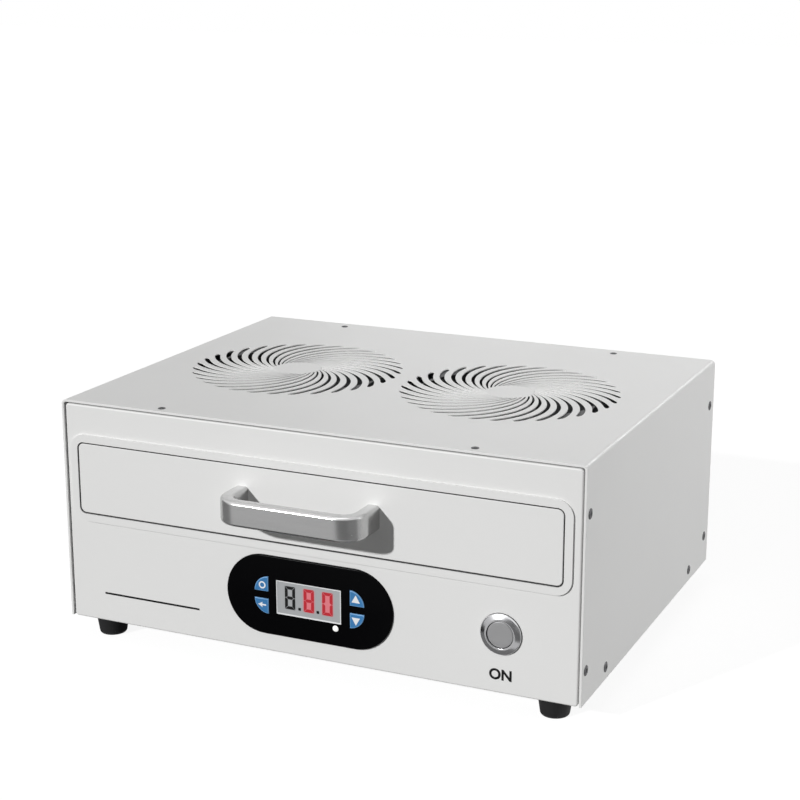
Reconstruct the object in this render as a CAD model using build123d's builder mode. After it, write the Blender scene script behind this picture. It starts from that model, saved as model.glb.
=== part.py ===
from build123d import *

import math
import os

# A bench-top ultraviolet curing box, in millimetres.
# x runs across the front, y from front to back and z up from the bench.
# Most sizes are given as x, depth behind the front panel's face, and height over its bottom edge.

# Case
case_width = 345.0
case_depth = 270.0
cover_height = 144.4
foot_height = 13.6
sheet = 1.5
cover_bend = 2.5

# What stands out of the case in front and behind
handle_reach = 31.6
rear_reach = 3.0
front_y = handle_reach - (handle_reach + case_depth + rear_reach) / 2

# Front and rear panel, folded pans inside the cover
shadow_gap = 0.8
panel_width = case_width - 2 * sheet - 2 * shadow_gap
panel_height = cover_height - sheet - shadow_gap
panel_bend = 1.2
flange_depth = 14.0
foot_flange_depth = 30.0

# Raised surround and the drawer's mouth
drawer_mid = 94.9
surround_width = 332.0
surround_height = 56.7
surround_corner = 10.0
surround_rise = 1.0
surround_bevel = 0.6
mouth_width = 321.9
mouth_height = 46.6
mouth_corner = 4.4
groove = 0.9
hem_depth = 6.0

# Drawer
drawer_pan_depth = 12.0
tray_half = 151.5
tray_sheet = 1.2
tray_bottom = 76.0
tray_top = 105.0
tray_back = 245.0
mat_thick = 1.0
mat_inset = 3.0

# Interlock at the back of the tray
magnet_half = 10.0
magnet_thick = 3.0
magnet_rise = 8.0
magnet_height = 10.0
sensor_half = 12.0
sensor_gap = 1.5
sensor_thick = 7.5
sensor_height = 28.0

# Handle, a bow of rounded bar
handle_half = 47.7
handle_bar = 8.0
handle_low = 90.0
handle_high = 105.0
handle_outer_bend = 14.0
handle_inner_bend = 6.0
handle_edge = 1.8
handle_screw_pitch = 88.0

# Inner frame
base_low = sheet
base_top = 2 * sheet
base_flange_top = 16.0
floor_gap = 1.7
foot_flange_inset = 4.0
plate_half = 161.5
plate_front = 20.0
plate_back = 250.0
plate_foot = 12.0
deck_top = 68.0
deck_back = 264.0
shelf_low = 126.0
shelf_edge = 8.0
shelf_edge_half = 150.0

# Drawer slides, three nested channels a side
slide_front = 20.0
slide_length = 225.0
slide_low = 76.5
slide_high = 103.5
slide_wall = 1.2
slide_gap = 0.1
slide_lip = 7.5

# Lamp
lamp_low = 113.0
lamp_base = 3.0
fin_height = 8.0
fin_thick = 1.6
fin_pitch = 18.0
fin_count = 17
lamp_front = 25.0
lamp_back = 245.0
board_thick = 1.6
board_inner = 8.0
board_outer = 145.0
emitter_pitch = 44.0
emitter_size = 5.0
emitter_height = 2.0

# Fans under the grilles
vent_x = 75.7
vent_depth = 133.0
fan_size = 120.0
fan_thick = 15.0
fan_screw_pitch = 105.0
fan_screw_head = 2.0
carrier_arm = 5.0
carrier_size = 30.0
carrier_thick = 3.0
duct_radius = 58.3
blade_tip = 57.3
blade_count = 7
blade_thick = 1.3
blade_root = 13.0
blade_end = 19.0
blade_pitch = 32.0
blade_inner = 16.0
duct_sides = 18
hub_gap = 0.5
hub_radius = 19.0
fan_shaft = 1.5
shaft_fit = 0.05

# Spiral grilles: each slot is a tapered arc whose circle is set off from the middle of the grille
slot_count = 32
slot_runs = 4
first_slot = -89.7
slot_start = 15.5
slot_end = 70.2
slot_arc_radius = 49.5
slot_arc_offset = 38.8
slot_wide = 3.9
slot_narrow = 1.1

# Timer
timer_x = -0.2
timer_mid = 36.9
bezel_width = 111.5
bezel_height = 50.7
bezel_proud = 1.6
bezel_bevel = 0.8
case_half = 43.5
case_half_height = 19.5
timer_case_depth = 40.0
timer_wall = 2.0
cutout_play = 0.4
clamp_half = 49.5
clamp_half_height = 27.0
clamp_thick = 3.0
window_left = -21.9
window_right = 21.8
window_low = 25.8
window_high = 47.5
timer_board_depth = 6.0
lamp_x = 18.0
lamp_mid = 22.7
lamp_radius = 1.95
key_left_edge = -26.85
key_right_edge = 27.85
key_upper_edge = 39.2
key_lower_edge = 34.5
key_radius = 9.6
key_travel = 0.5
key_proud = 0.6
key_play = 0.15
key_foot = 0.9

# Start button
button_x = 123.4
button_mid = 36.9
button_ring = 12.75
ring_proud = 2.8
ring_sides = 36
barrel_sides = 24
button_barrel = 10.9
barrel_length = 18.0
button_bore = 8.3
button_cap = 8.22
cap_proud = 2.4
button_travel = 3.0
nut_flat = 13.5
contacts_depth = 24.0

# Rear fittings
intake_x = -90.0
intake_count = 11
intake_pitch = 9.0
intake_width = 3.5
intake_height = 34.0
inlet_x = 112.0
inlet_mid = 36.0
inlet_proud = 2.0
inlet_depth = 24.0
inlet_flange = (50.0, 24.0)
inlet_box = (27.0, 19.6)
inlet_mouth = (24.0, 16.4)
inlet_hollow = 16.0
pin_places = ((-7.0, -2.0), (0.0, 2.0), (7.0, -2.0))
switch_x = 70.0
switch_flange = (16.0, 22.0)
switch_box = (13.2, 19.2)
switch_mouth = (10.8, 17.2)
switch_depth = 18.0
switch_proud = 1.6
rocker_half = 5.2
rocker_tilt = 9.0
rocker_axis = case_depth - 1.0
rocker_pin = 1.2

# Boxes on the base pan, as x and depth limits
supply_x = (-140.0, -43.0)
supply_depth = (95.0, 235.0)
supply_height = 30.0
terminal_step = 12.0
terminal_pitch = 9.5
terminal_count = 9
terminal_width = 8.0
terminal_height = 10.0
driver_x = (-20.0, 50.0)
driver_depth = (90.0, 200.0)
driver_height = 26.0

# Feet
foot_x = 151.6
foot_inset = 15.6
foot_low_radius = 8.75
foot_taper = 8.8
foot_sides = 18

# Hexagon heads and nuts of 4 mm screws, over half their flats
hex_flat = 3.5
hex_thick = 2.8

# Cover screws, as depth and height on each side, and the clip nuts on the flanges' free edges
screw_head = 3.3
screw_rise = 0.6
top_screw_head = 2.8
screw_sides = 10
flange_screw_depths = (6.6, 260.0)
flange_screw_heights = (20.5, 114.0)
base_screw_depths = (43.6, 223.2)
base_screw_height = 8.1
top_screw_x = 103.4
clip_reach = 11.0
clip_width = 11.0


def level(height):
    """Plane seen from above: x and depth, at a height over the panel's bottom edge."""
    return Plane(origin=(0, front_y, foot_height + height))


def wall(depth):
    """Plane seen from the front: x and height, at a depth behind the panel's face."""
    return Plane(origin=(0, front_y + depth, foot_height), x_dir=(1, 0, 0), z_dir=(0, -1, 0))


def flank(x):
    """Plane seen from the right: depth and height, at a distance from the middle."""
    return Plane(origin=(x, front_y, foot_height), x_dir=(0, 1, 0), z_dir=(1, 0, 0))


def rectangle(u, v, mode=Mode.ADD):
    """A rectangle between two pairs of limits, in the sketch that is open."""
    with Locations(((u[0] + u[1]) / 2, (v[0] + v[1]) / 2)):
        Rectangle(abs(u[1] - u[0]), abs(v[1] - v[0]), mode=mode)


def slab(plane, u, v, thick, mode=Mode.ADD):
    """A plate on a plane, between two pairs of limits."""
    with BuildSketch(plane) as outline:
        rectangle(u, v)
    extrude(outline.sketch, amount=thick, mode=mode)


def rounded(plane, centre, width, height, corner, thick, mode=Mode.ADD):
    """A plate with rounded corners round a centre."""
    with BuildSketch(plane) as outline:
        with Locations(centre):
            RectangleRounded(width, height, corner)
    extrude(outline.sketch, amount=thick, mode=mode)


def disc(plane, centre, radius, thick, mode=Mode.ADD):
    """A round plate or hole."""
    with BuildSketch(plane) as outline:
        with Locations(centre):
            Circle(radius)
    extrude(outline.sketch, amount=thick, mode=mode)


def keep(part, name):
    """Labels a piece and writes it."""
    part.label = name
    export_step(part, f"parts/{name}.step")


os.makedirs("parts", exist_ok=True)
panel_span = (-panel_width / 2, panel_width / 2)
both = (-1, 1)
hand = {-1: "left", 1: "right"}

# Base pan: floor on the panels' foot flanges, with a flange up each side
with BuildPart() as base_pan:
    slab(
        level(base_low),
        (floor_gap - panel_width / 2, panel_width / 2 - floor_gap),
        (sheet, case_depth - sheet),
        sheet,
    )
    slab(
        level(base_low),
        (-panel_width / 2, panel_width / 2),
        (flange_depth + sheet, case_depth - flange_depth - sheet),
        base_flange_top - base_low,
    )
    slab(
        level(base_top),
        (-panel_width / 2 + sheet, panel_width / 2 - sheet),
        (flange_depth, case_depth - flange_depth),
        base_flange_top,
        Mode.SUBTRACT,
    )
keep(base_pan.part, "base_pan")

# Front panel: pan with a raised surround, its hemmed mouth and the cut-outs for timer and button
with BuildPart() as front_panel:
    slab(wall(0), panel_span, (0, panel_height), -flange_depth)
    fillet(front_panel.faces().sort_by(Axis.Y)[0].edges(), panel_bend)
    rounded(wall(0), (0, drawer_mid), surround_width, surround_height, surround_corner, surround_rise)
    chamfer(front_panel.faces().sort_by(Axis.Y)[0].edges(), surround_bevel)
    slab(
        wall(sheet),
        (panel_span[0] + sheet, panel_span[1] - sheet),
        (sheet, panel_height - sheet),
        -flange_depth,
        Mode.SUBTRACT,
    )
    rounded(
        wall(sheet),
        (0, drawer_mid),
        surround_width - 2 * sheet,
        surround_height - 2 * sheet,
        surround_corner - sheet,
        surround_rise,
        Mode.SUBTRACT,
    )
    rounded(
        wall(hem_depth),
        (0, drawer_mid),
        mouth_width + 2 * sheet,
        mouth_height + 2 * sheet,
        mouth_corner + sheet,
        hem_depth + surround_rise - sheet,
    )
    rounded(
        wall(hem_depth),
        (0, drawer_mid),
        mouth_width,
        mouth_height,
        mouth_corner,
        hem_depth + surround_rise,
        Mode.SUBTRACT,
    )
    slab(
        level(0),
        (foot_flange_inset - panel_width / 2, panel_width / 2 - foot_flange_inset),
        (flange_depth, foot_flange_depth),
        sheet,
    )
    slab(
        wall(sheet),
        (timer_x - case_half - cutout_play, timer_x + case_half + cutout_play),
        (timer_mid - case_half_height - cutout_play, timer_mid + case_half_height + cutout_play),
        sheet,
        Mode.SUBTRACT,
    )
    disc(wall(sheet), (button_x, button_mid), button_barrel + cutout_play, sheet, Mode.SUBTRACT)
keep(front_panel.part, "front_panel")

# Rear panel: pan with intake slots and cut-outs for inlet and switch
with BuildPart() as rear_panel:
    slab(wall(case_depth), panel_span, (0, panel_height), flange_depth)
    fillet(rear_panel.faces().sort_by(Axis.Y)[-1].edges(), panel_bend)
    slab(
        wall(case_depth - sheet),
        (panel_span[0] + sheet, panel_span[1] - sheet),
        (sheet, panel_height - sheet),
        flange_depth,
        Mode.SUBTRACT,
    )
    slab(
        level(0),
        (foot_flange_inset - panel_width / 2, panel_width / 2 - foot_flange_inset),
        (case_depth - foot_flange_depth, case_depth - flange_depth),
        sheet,
    )
    with BuildSketch(wall(case_depth)):
        with Locations((intake_x, inlet_mid)):
            with GridLocations(intake_pitch, 0, intake_count, 1):
                Rectangle(intake_width, intake_height)
        with Locations((inlet_x, inlet_mid)):
            Rectangle(inlet_box[0] + cutout_play, inlet_box[1] + cutout_play)
        with Locations((switch_x, inlet_mid)):
            Rectangle(switch_box[0] + cutout_play, switch_box[1] + cutout_play)
    extrude(amount=sheet, mode=Mode.SUBTRACT)
keep(rear_panel.part, "rear_panel")


def on_slot_circle(radius, side):
    """Point at a radius from the grille's middle, on the slot's circle moved sideways."""
    arc = slot_arc_radius + side
    cosine = (radius**2 + slot_arc_offset**2 - arc**2) / (2 * radius * slot_arc_offset)
    turn = math.acos(cosine)
    return (radius * math.cos(turn), radius * math.sin(turn))


def slot_side(hand):
    """Points along one side of a slot, from its narrow inner end to its wide outer end."""
    points = []
    for step in range(slot_runs + 1):
        along = step / slot_runs
        radius = slot_start + (slot_end - slot_start) * along
        half_width = (slot_narrow + (slot_wide - slot_narrow) * along) / 2
        points.append(on_slot_circle(radius, hand * half_width))
    return points


# One slot of the grille: its two curved sides, in short runs, draw together towards the middle
with BuildSketch() as grille_slot:
    with BuildLine():
        Polyline(slot_side(1) + slot_side(-1)[::-1], close=True)
    make_face()

# The first slot's outer end stands in front of the grille's middle
outer_end = on_slot_circle(slot_end, 0)
grille_turn = first_slot - math.degrees(math.atan2(outer_end[1], outer_end[0]))

# Top cover: one sheet folded over both sides, with the two spiral grilles
with BuildPart() as top_cover:
    with BuildSketch(wall(0)):
        rectangle((-case_width / 2, case_width / 2), (0, cover_height))
        fillet(vertices().group_by(Axis.Y)[-1], cover_bend)
    extrude(amount=-case_depth)
    with BuildSketch(wall(0)):
        rectangle((-case_width / 2 + sheet, case_width / 2 - sheet), (0, cover_height - sheet))
        fillet(vertices().group_by(Axis.Y)[-1], cover_bend - sheet)
    extrude(amount=-case_depth, mode=Mode.SUBTRACT)
    with BuildSketch(level(cover_height)):
        with Locations((-vent_x, vent_depth), (vent_x, vent_depth)):
            with PolarLocations(0, slot_count, start_angle=grille_turn):
                add(grille_slot.sketch)
    extrude(amount=-sheet, mode=Mode.SUBTRACT)
keep(top_cover.part, "top_cover")


# Inner frame: a side plate each side, with a foot turned in, stands on the base pan
for side in both:
    with BuildPart() as side_plate:
        slab(flank(side * plate_half), (plate_front, plate_back), (base_top, shelf_low), side * sheet)
        slab(
            level(base_top),
            (side * (plate_half - plate_foot), side * plate_half),
            (plate_front, plate_back),
            sheet,
        )
    keep(side_plate.part, f"side_plate_{hand[side]}")

# Deck between the drawer bay and the electronics, with an edge turned down along each side plate
with BuildPart() as mid_deck:
    slab(level(deck_top), (-plate_half, plate_half), (sheet + 0.5, deck_back), -sheet)
    for side in both:
        slab(
            level(deck_top - sheet),
            (side * (plate_half - sheet), side * plate_half),
            (plate_front, plate_back),
            -plate_foot,
        )
keep(mid_deck.part, "mid_deck")

# Drawer slides: outer channel on the side plate, middle channel, and inner channel on the tray
for side in both:
    for name, web, lip, inset in (
        ("outer", plate_half, -slide_lip, 0),
        ("middle", plate_half - slide_wall - slide_gap, -slide_lip, slide_wall + slide_gap),
        ("inner", tray_half, slide_lip - slide_gap, 2 * (slide_wall + slide_gap)),
    ):
        reach = (side * web, side * (web + lip))
        back_of_web = side * (web + math.copysign(slide_wall, lip))
        low = slide_low + inset
        high = slide_high - inset
        with BuildPart() as channel:
            with BuildSketch(wall(slide_front)):
                rectangle((side * web, back_of_web), (low, high))
                rectangle(reach, (low, low + slide_wall))
                rectangle(reach, (high - slide_wall, high))
            extrude(amount=-slide_length)
        keep(channel.part, f"slide_{name}_{hand[side]}")

# Lamp plate: finned heat sink across the side plates, over the drawer
with BuildPart() as lamp_plate:
    slab(level(lamp_low), (-plate_half, plate_half), (lamp_front, lamp_back), lamp_base)
    with BuildSketch(level(lamp_low + lamp_base)):
        with Locations((0, (lamp_front + lamp_back) / 2)):
            with GridLocations(fin_pitch, 0, fin_count, 1):
                Rectangle(fin_thick, lamp_back - lamp_front)
    extrude(amount=fin_height)
keep(lamp_plate.part, "lamp_plate")

for side in both:
    with BuildPart() as lamp_board:
        slab(
            level(lamp_low),
            (side * board_inner, side * board_outer),
            (lamp_front + 10, lamp_back - 10),
            -board_thick,
        )
    keep(lamp_board.part, f"lamp_board_{hand[side]}")

with BuildPart() as lamp_emitters:
    with BuildSketch(level(lamp_low - board_thick)):
        for side in both:
            with Locations((side * (board_inner + board_outer) / 2, (lamp_front + lamp_back) / 2)):
                with GridLocations(emitter_pitch, emitter_pitch, 3, 4):
                    Rectangle(emitter_size, emitter_size)
    extrude(amount=-emitter_height)
keep(lamp_emitters.part, "lamp_emitters")

# Fan shelf on the side plates' top edges, with an opening under each fan
with BuildPart() as fan_shelf:
    slab(
        level(shelf_low),
        (-plate_half - sheet, plate_half + sheet),
        (plate_front, plate_back),
        sheet,
    )
    for depth in (plate_front, plate_back - sheet):
        slab(level(shelf_low), (-shelf_edge_half, shelf_edge_half), (depth, depth + sheet), -shelf_edge)
    with BuildSketch(level(shelf_low)):
        with Locations((-vent_x, vent_depth), (vent_x, vent_depth)):
            RegularPolygon(duct_radius - 3, 8, major_radius=False, rotation=22.5)
    extrude(amount=sheet, mode=Mode.SUBTRACT)
keep(fan_shelf.part, "fan_shelf")

# Slim fans: frames with a four-armed carrier for the bearing
fan_low = shelf_low + sheet
with BuildPart() as fan_frames:
    with BuildSketch(level(fan_low)):
        with Locations((-vent_x, vent_depth), (vent_x, vent_depth)):
            Rectangle(fan_size, fan_size)
            RegularPolygon(duct_radius, duct_sides, major_radius=False, mode=Mode.SUBTRACT)
    extrude(amount=fan_thick)
    with BuildSketch(level(fan_low)):
        with Locations((-vent_x, vent_depth), (vent_x, vent_depth)):
            Rectangle(2 * duct_radius + 2, carrier_arm, rotation=45)
            Rectangle(2 * duct_radius + 2, carrier_arm, rotation=-45)
            Rectangle(carrier_size, carrier_size)
            Circle(fan_shaft + shaft_fit, mode=Mode.SUBTRACT)
    extrude(amount=carrier_thick)
keep(fan_frames.part, "fan_frames")

# One fan blade: a pitched plate, wider towards its tip
with BuildPart() as fan_blade:
    with BuildSketch(Plane.XY.rotated((blade_pitch, 0, 0))):
        with BuildLine():
            Polyline(
                (blade_inner, -blade_root / 2),
                (duct_radius + 2, -blade_end / 2),
                (duct_radius + 2, blade_end / 2),
                (blade_inner, blade_root / 2),
                close=True,
            )
        make_face()
    extrude(amount=blade_thick / 2, both=True)

for side in both:
    fan_centre = (side * vent_x, vent_depth)
    blade_height = fan_low + (carrier_thick + fan_thick) / 2
    with BuildPart() as fan_rotor:
        with BuildSketch(level(fan_low + carrier_thick + hub_gap)):
            with Locations(fan_centre):
                RegularPolygon(hub_radius, duct_sides)
        extrude(amount=fan_thick - carrier_thick - 3 * hub_gap)
        with Locations((side * vent_x, front_y + vent_depth, foot_height + blade_height)):
            with PolarLocations(0, blade_count):
                add(fan_blade.part)
        disc(level(fan_low), fan_centre, blade_tip, fan_thick, Mode.INTERSECT)
        disc(level(fan_low + hub_gap), fan_centre, fan_shaft, carrier_thick)
    keep(fan_rotor.part, f"fan_rotor_{hand[side]}")

# Hexagon heads of the fan screws, under the shelf
with BuildPart() as fan_screws:
    with BuildSketch(level(shelf_low)):
        with Locations((-vent_x, vent_depth), (vent_x, vent_depth)):
            with GridLocations(fan_screw_pitch, fan_screw_pitch, 2, 2):
                RegularPolygon(hex_flat, 6, major_radius=False)
    extrude(amount=-fan_screw_head)
keep(fan_screws.part, "fan_screws")

# Drawer front, a shallow pan flush with the surround
drawer_face = -surround_rise
drawer_width = mouth_width - 2 * groove
drawer_height = mouth_height - 2 * groove
with BuildPart() as drawer_front:
    rounded(
        wall(drawer_face),
        (0, drawer_mid),
        drawer_width,
        drawer_height,
        mouth_corner - groove,
        -drawer_pan_depth,
    )
    chamfer(drawer_front.faces().sort_by(Axis.Y)[0].edges(), 0.5)
    rounded(
        wall(drawer_face + sheet),
        (0, drawer_mid),
        drawer_width - 2 * sheet,
        drawer_height - 2 * sheet,
        mouth_corner - groove - sheet,
        -drawer_pan_depth,
        Mode.SUBTRACT,
    )
keep(drawer_front.part, "drawer_front")

# Backing sheet inside the drawer front, to which the tray is fixed
pan_back = drawer_face + drawer_pan_depth
with BuildPart() as drawer_backing:
    slab(
        wall(pan_back),
        (-drawer_width / 2 + sheet, drawer_width / 2 - sheet),
        (drawer_mid - drawer_height / 2 + sheet, drawer_mid + drawer_height / 2 - sheet),
        tray_sheet,
    )
    chamfer(drawer_backing.edges().filter_by(Axis.Y), mouth_corner - groove - sheet)
keep(drawer_backing.part, "drawer_backing")

# Drawer tray, open above: floor, sides and ends are flat sheets, spot-welded, and a mat lies on the floor
tray_floor_top = tray_bottom + tray_sheet
with BuildPart() as tray_floor:
    slab(level(tray_bottom), (-tray_half, tray_half), (pan_back, tray_back), tray_sheet)
keep(tray_floor.part, "tray_floor")

with BuildPart() as tray_sides:
    for side in both:
        slab(
            level(tray_floor_top),
            (side * (tray_half - tray_sheet), side * tray_half),
            (pan_back, tray_back),
            tray_top - tray_floor_top,
        )
keep(tray_sides.part, "tray_sides")

with BuildPart() as tray_ends:
    for depth in (pan_back, tray_back - tray_sheet):
        slab(
            level(tray_floor_top),
            (-tray_half + tray_sheet, tray_half - tray_sheet),
            (depth, depth + tray_sheet),
            tray_top - tray_floor_top,
        )
keep(tray_ends.part, "tray_ends")

with BuildPart() as tray_mat:
    slab(
        level(tray_floor_top),
        (-tray_half + mat_inset, tray_half - mat_inset),
        (pan_back + mat_inset, tray_back - mat_inset),
        mat_thick,
    )
keep(tray_mat.part, "tray_mat")

# Handle: a bow of flat bar with rounded bends, on the drawer front
with BuildPart() as handle:
    with BuildSketch(level(handle_low)):
        rectangle((-handle_half, handle_half), (-handle_reach, drawer_face))
        fillet(vertices().group_by(Axis.Y)[0], handle_outer_bend)
    extrude(amount=handle_high - handle_low)
    rims = handle.edges().group_by(Axis.Z)[0] + handle.edges().group_by(Axis.Z)[-1]
    chamfer(rims.filter_by(lambda rim: rim.center().Y < front_y + drawer_face - 0.1), handle_edge)
    with BuildSketch(level(handle_low)):
        rectangle(
            (-handle_half + handle_bar, handle_half - handle_bar),
            (-handle_reach + handle_bar, drawer_face),
        )
        fillet(vertices().group_by(Axis.Y)[0], handle_inner_bend)
    extrude(amount=handle_high - handle_low, mode=Mode.SUBTRACT)
keep(handle.part, "handle")

handle_mid = (handle_low + handle_high) / 2
with BuildPart() as handle_screws:
    with BuildSketch(wall(drawer_face + sheet)):
        with Locations((0, handle_mid)):
            with GridLocations(handle_screw_pitch, 0, 2, 1):
                RegularPolygon(hex_flat, 6, major_radius=False)
    extrude(amount=-hex_thick)
keep(handle_screws.part, "handle_screws")

# Interlock: a magnet on the back of the tray and its sensor on the deck
with BuildPart() as drawer_magnet:
    slab(
        level(tray_bottom + magnet_rise),
        (-magnet_half, magnet_half),
        (tray_back, tray_back + magnet_thick),
        magnet_height,
    )
keep(drawer_magnet.part, "drawer_magnet")

with BuildPart() as drawer_sensor:
    slab(
        level(deck_top),
        (-sensor_half, sensor_half),
        (tray_back + magnet_thick + sensor_gap, tray_back + magnet_thick + sensor_gap + sensor_thick),
        sensor_height,
    )
keep(drawer_sensor.part, "drawer_sensor")

# Timer: bevelled bezel on the panel, case through the cut-out, clamp behind the panel
timer_centre = (timer_x, timer_mid)
key_places = {
    "upper_left": (key_left_edge, key_upper_edge, -1, 1),
    "lower_left": (key_left_edge, key_lower_edge, -1, -1),
    "upper_right": (key_right_edge, key_upper_edge, 1, 1),
    "lower_right": (key_right_edge, key_lower_edge, 1, -1),
}


def quarter(x, height, across, up, radius, mode=Mode.ADD):
    """A quarter of a circle from its corner, in the sketch that is open."""
    with BuildSketch(mode=Mode.PRIVATE) as shape:
        with Locations((x, height)):
            Circle(radius)
        rectangle((x, x + across * radius), (height, height + up * radius), Mode.INTERSECT)
    add(shape.sketch, mode=mode)


with BuildPart() as timer_bezel:
    with BuildSketch(wall(0)):
        with Locations(timer_centre):
            SlotOverall(bezel_width, bezel_height)
    extrude(amount=bezel_proud)
    chamfer(timer_bezel.faces().sort_by(Axis.Y)[0].edges(), bezel_bevel)
    with BuildSketch(wall(0)):
        rectangle((window_left, window_right), (window_low, window_high))
        with Locations((lamp_x, lamp_mid)):
            Circle(lamp_radius + 0.1)
        for x, height, across, up in key_places.values():
            quarter(x - across * key_play, height - up * key_play, across, up, key_radius + 2 * key_play)
    extrude(amount=bezel_proud, mode=Mode.SUBTRACT)
keep(timer_bezel.part, "timer_bezel")

with BuildPart() as timer_case:
    slab(
        wall(0),
        (timer_x - case_half, timer_x + case_half),
        (timer_mid - case_half_height, timer_mid + case_half_height),
        -timer_case_depth,
    )
    slab(
        wall(0),
        (timer_x - case_half + timer_wall, timer_x + case_half - timer_wall),
        (timer_mid - case_half_height + timer_wall, timer_mid + case_half_height - timer_wall),
        timer_wall - timer_case_depth,
        Mode.SUBTRACT,
    )
keep(timer_case.part, "timer_case")

with BuildPart() as timer_board:
    slab(
        wall(timer_board_depth),
        (timer_x - case_half + timer_wall, timer_x + case_half - timer_wall),
        (timer_mid - case_half_height + timer_wall, timer_mid + case_half_height - timer_wall),
        -board_thick,
    )
keep(timer_board.part, "timer_board")

with BuildPart() as timer_clamp:
    slab(
        wall(sheet),
        (timer_x - clamp_half, timer_x + clamp_half),
        (timer_mid - clamp_half_height, timer_mid + clamp_half_height),
        -clamp_thick,
    )
    slab(
        wall(sheet),
        (timer_x - case_half, timer_x + case_half),
        (timer_mid - case_half_height, timer_mid + case_half_height),
        -clamp_thick,
        Mode.SUBTRACT,
    )
keep(timer_clamp.part, "timer_clamp")

with BuildPart() as display_window:
    slab(wall(0), (window_left, window_right), (window_low, window_high), bezel_proud - 0.3)
keep(display_window.part, "display_window")

with BuildPart() as indicator_lamp:
    disc(wall(timer_board_depth), (lamp_x, lamp_mid), lamp_radius, timer_board_depth + bezel_proud + 0.4)
keep(indicator_lamp.part, "indicator_lamp")

# Timer keys: quarter-round caps with a stem each, held behind the bezel by a wider foot
for place, (x, height, across, up) in key_places.items():
    with BuildPart() as key:
        with BuildSketch(wall(key_foot)):
            quarter(x, height, across, up, key_radius)
        extrude(amount=key_foot + bezel_proud + key_proud)
        with BuildSketch(wall(key_foot)):
            foot_end = key_radius + 1
            rectangle((x - across, x + across * foot_end), (height - up, height + up * foot_end))
        extrude(amount=key_foot - 0.1)
        with BuildSketch(wall(timer_board_depth - 2 * key_travel)):
            with Locations((x + across * key_radius * 0.4, height + up * key_radius * 0.4)):
                Rectangle(3, 3)
        extrude(amount=timer_board_depth - 2 * key_travel)
    keep(key.part, f"key_{place}")

# Start button: ring and barrel, nut, switch block, and the cap that travels in the ring
button_centre = (button_x, button_mid)
with BuildPart() as button_housing:
    for radius, sides, length in (
        (button_ring, ring_sides, ring_proud),
        (button_barrel, barrel_sides, -barrel_length),
    ):
        with BuildSketch(wall(0)):
            with Locations(button_centre):
                RegularPolygon(radius, sides)
        extrude(amount=length)
    disc(wall(barrel_length), button_centre, button_bore, barrel_length + ring_proud, Mode.SUBTRACT)
keep(button_housing.part, "button_housing")

with BuildPart() as button_nut:
    with BuildSketch(wall(sheet)):
        with Locations(button_centre):
            RegularPolygon(nut_flat, 6, major_radius=False)
            RegularPolygon(button_barrel + 0.1, barrel_sides, mode=Mode.SUBTRACT)
    extrude(amount=-4)
keep(button_nut.part, "button_nut")

with BuildPart() as button_contacts:
    slab(
        wall(barrel_length),
        (button_x - 10, button_x + 10),
        (button_mid - 13, button_mid + 13),
        -contacts_depth,
    )
keep(button_contacts.part, "button_contacts")

with BuildPart() as start_button:
    cap_back = barrel_length - button_travel - 1
    disc(wall(cap_back), button_centre, button_cap, cap_back + cap_proud)
keep(start_button.part, "start_button")

# Power supply with its terminals, and the lamp driver, on the base pan
terminal_depth = supply_depth[0] + terminal_step + 3
with BuildPart() as power_supply:
    slab(level(base_top), supply_x, supply_depth, supply_height)
    slab(
        level(base_top + terminal_step),
        supply_x,
        (supply_depth[0], terminal_depth),
        supply_height,
        Mode.SUBTRACT,
    )
keep(power_supply.part, "power_supply")

with BuildPart() as supply_terminals:
    with BuildSketch(level(base_top + terminal_step)):
        with Locations(((supply_x[0] + supply_x[1]) / 2, terminal_depth - 8)):
            with GridLocations(terminal_pitch, 0, terminal_count, 1):
                Rectangle(terminal_width, terminal_step)
    extrude(amount=terminal_height)
keep(supply_terminals.part, "supply_terminals")

with BuildPart() as lamp_driver:
    slab(level(base_top), driver_x, driver_depth, driver_height)
keep(lamp_driver.part, "lamp_driver")


def plate_at(plane, centre, size, thick, mode=Mode.ADD):
    """A square-cornered plate round a centre."""
    half_width = size[0] / 2
    half_height = size[1] / 2
    slab(
        plane,
        (centre[0] - half_width, centre[0] + half_width),
        (centre[1] - half_height, centre[1] + half_height),
        thick,
        mode,
    )


# Mains inlet in the rear panel: flange, socket and box behind it
inlet_centre = (inlet_x, inlet_mid)
inlet_face = case_depth + inlet_proud
with BuildPart() as inlet_socket:
    rounded(wall(case_depth), inlet_centre, *inlet_flange, 6, -inlet_proud)
    plate_at(wall(case_depth - inlet_depth), inlet_centre, inlet_box, -inlet_depth)
    plate_at(wall(inlet_face), inlet_centre, inlet_mouth, inlet_hollow, Mode.SUBTRACT)
keep(inlet_socket.part, "inlet_socket")

with BuildPart() as inlet_pins:
    with BuildSketch(wall(inlet_face - inlet_hollow)):
        with Locations(inlet_centre):
            with Locations(*pin_places):
                Rectangle(2, 4)
    extrude(amount=2 - inlet_hollow)
keep(inlet_pins.part, "inlet_pins")

with BuildPart() as inlet_screws:
    with BuildSketch(wall(inlet_face)):
        with Locations(inlet_centre):
            with GridLocations(40, 0, 2, 1):
                RegularPolygon(2.8, screw_sides)
    extrude(amount=inlet_face - case_depth - rear_reach)
keep(inlet_screws.part, "inlet_screws")

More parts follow.
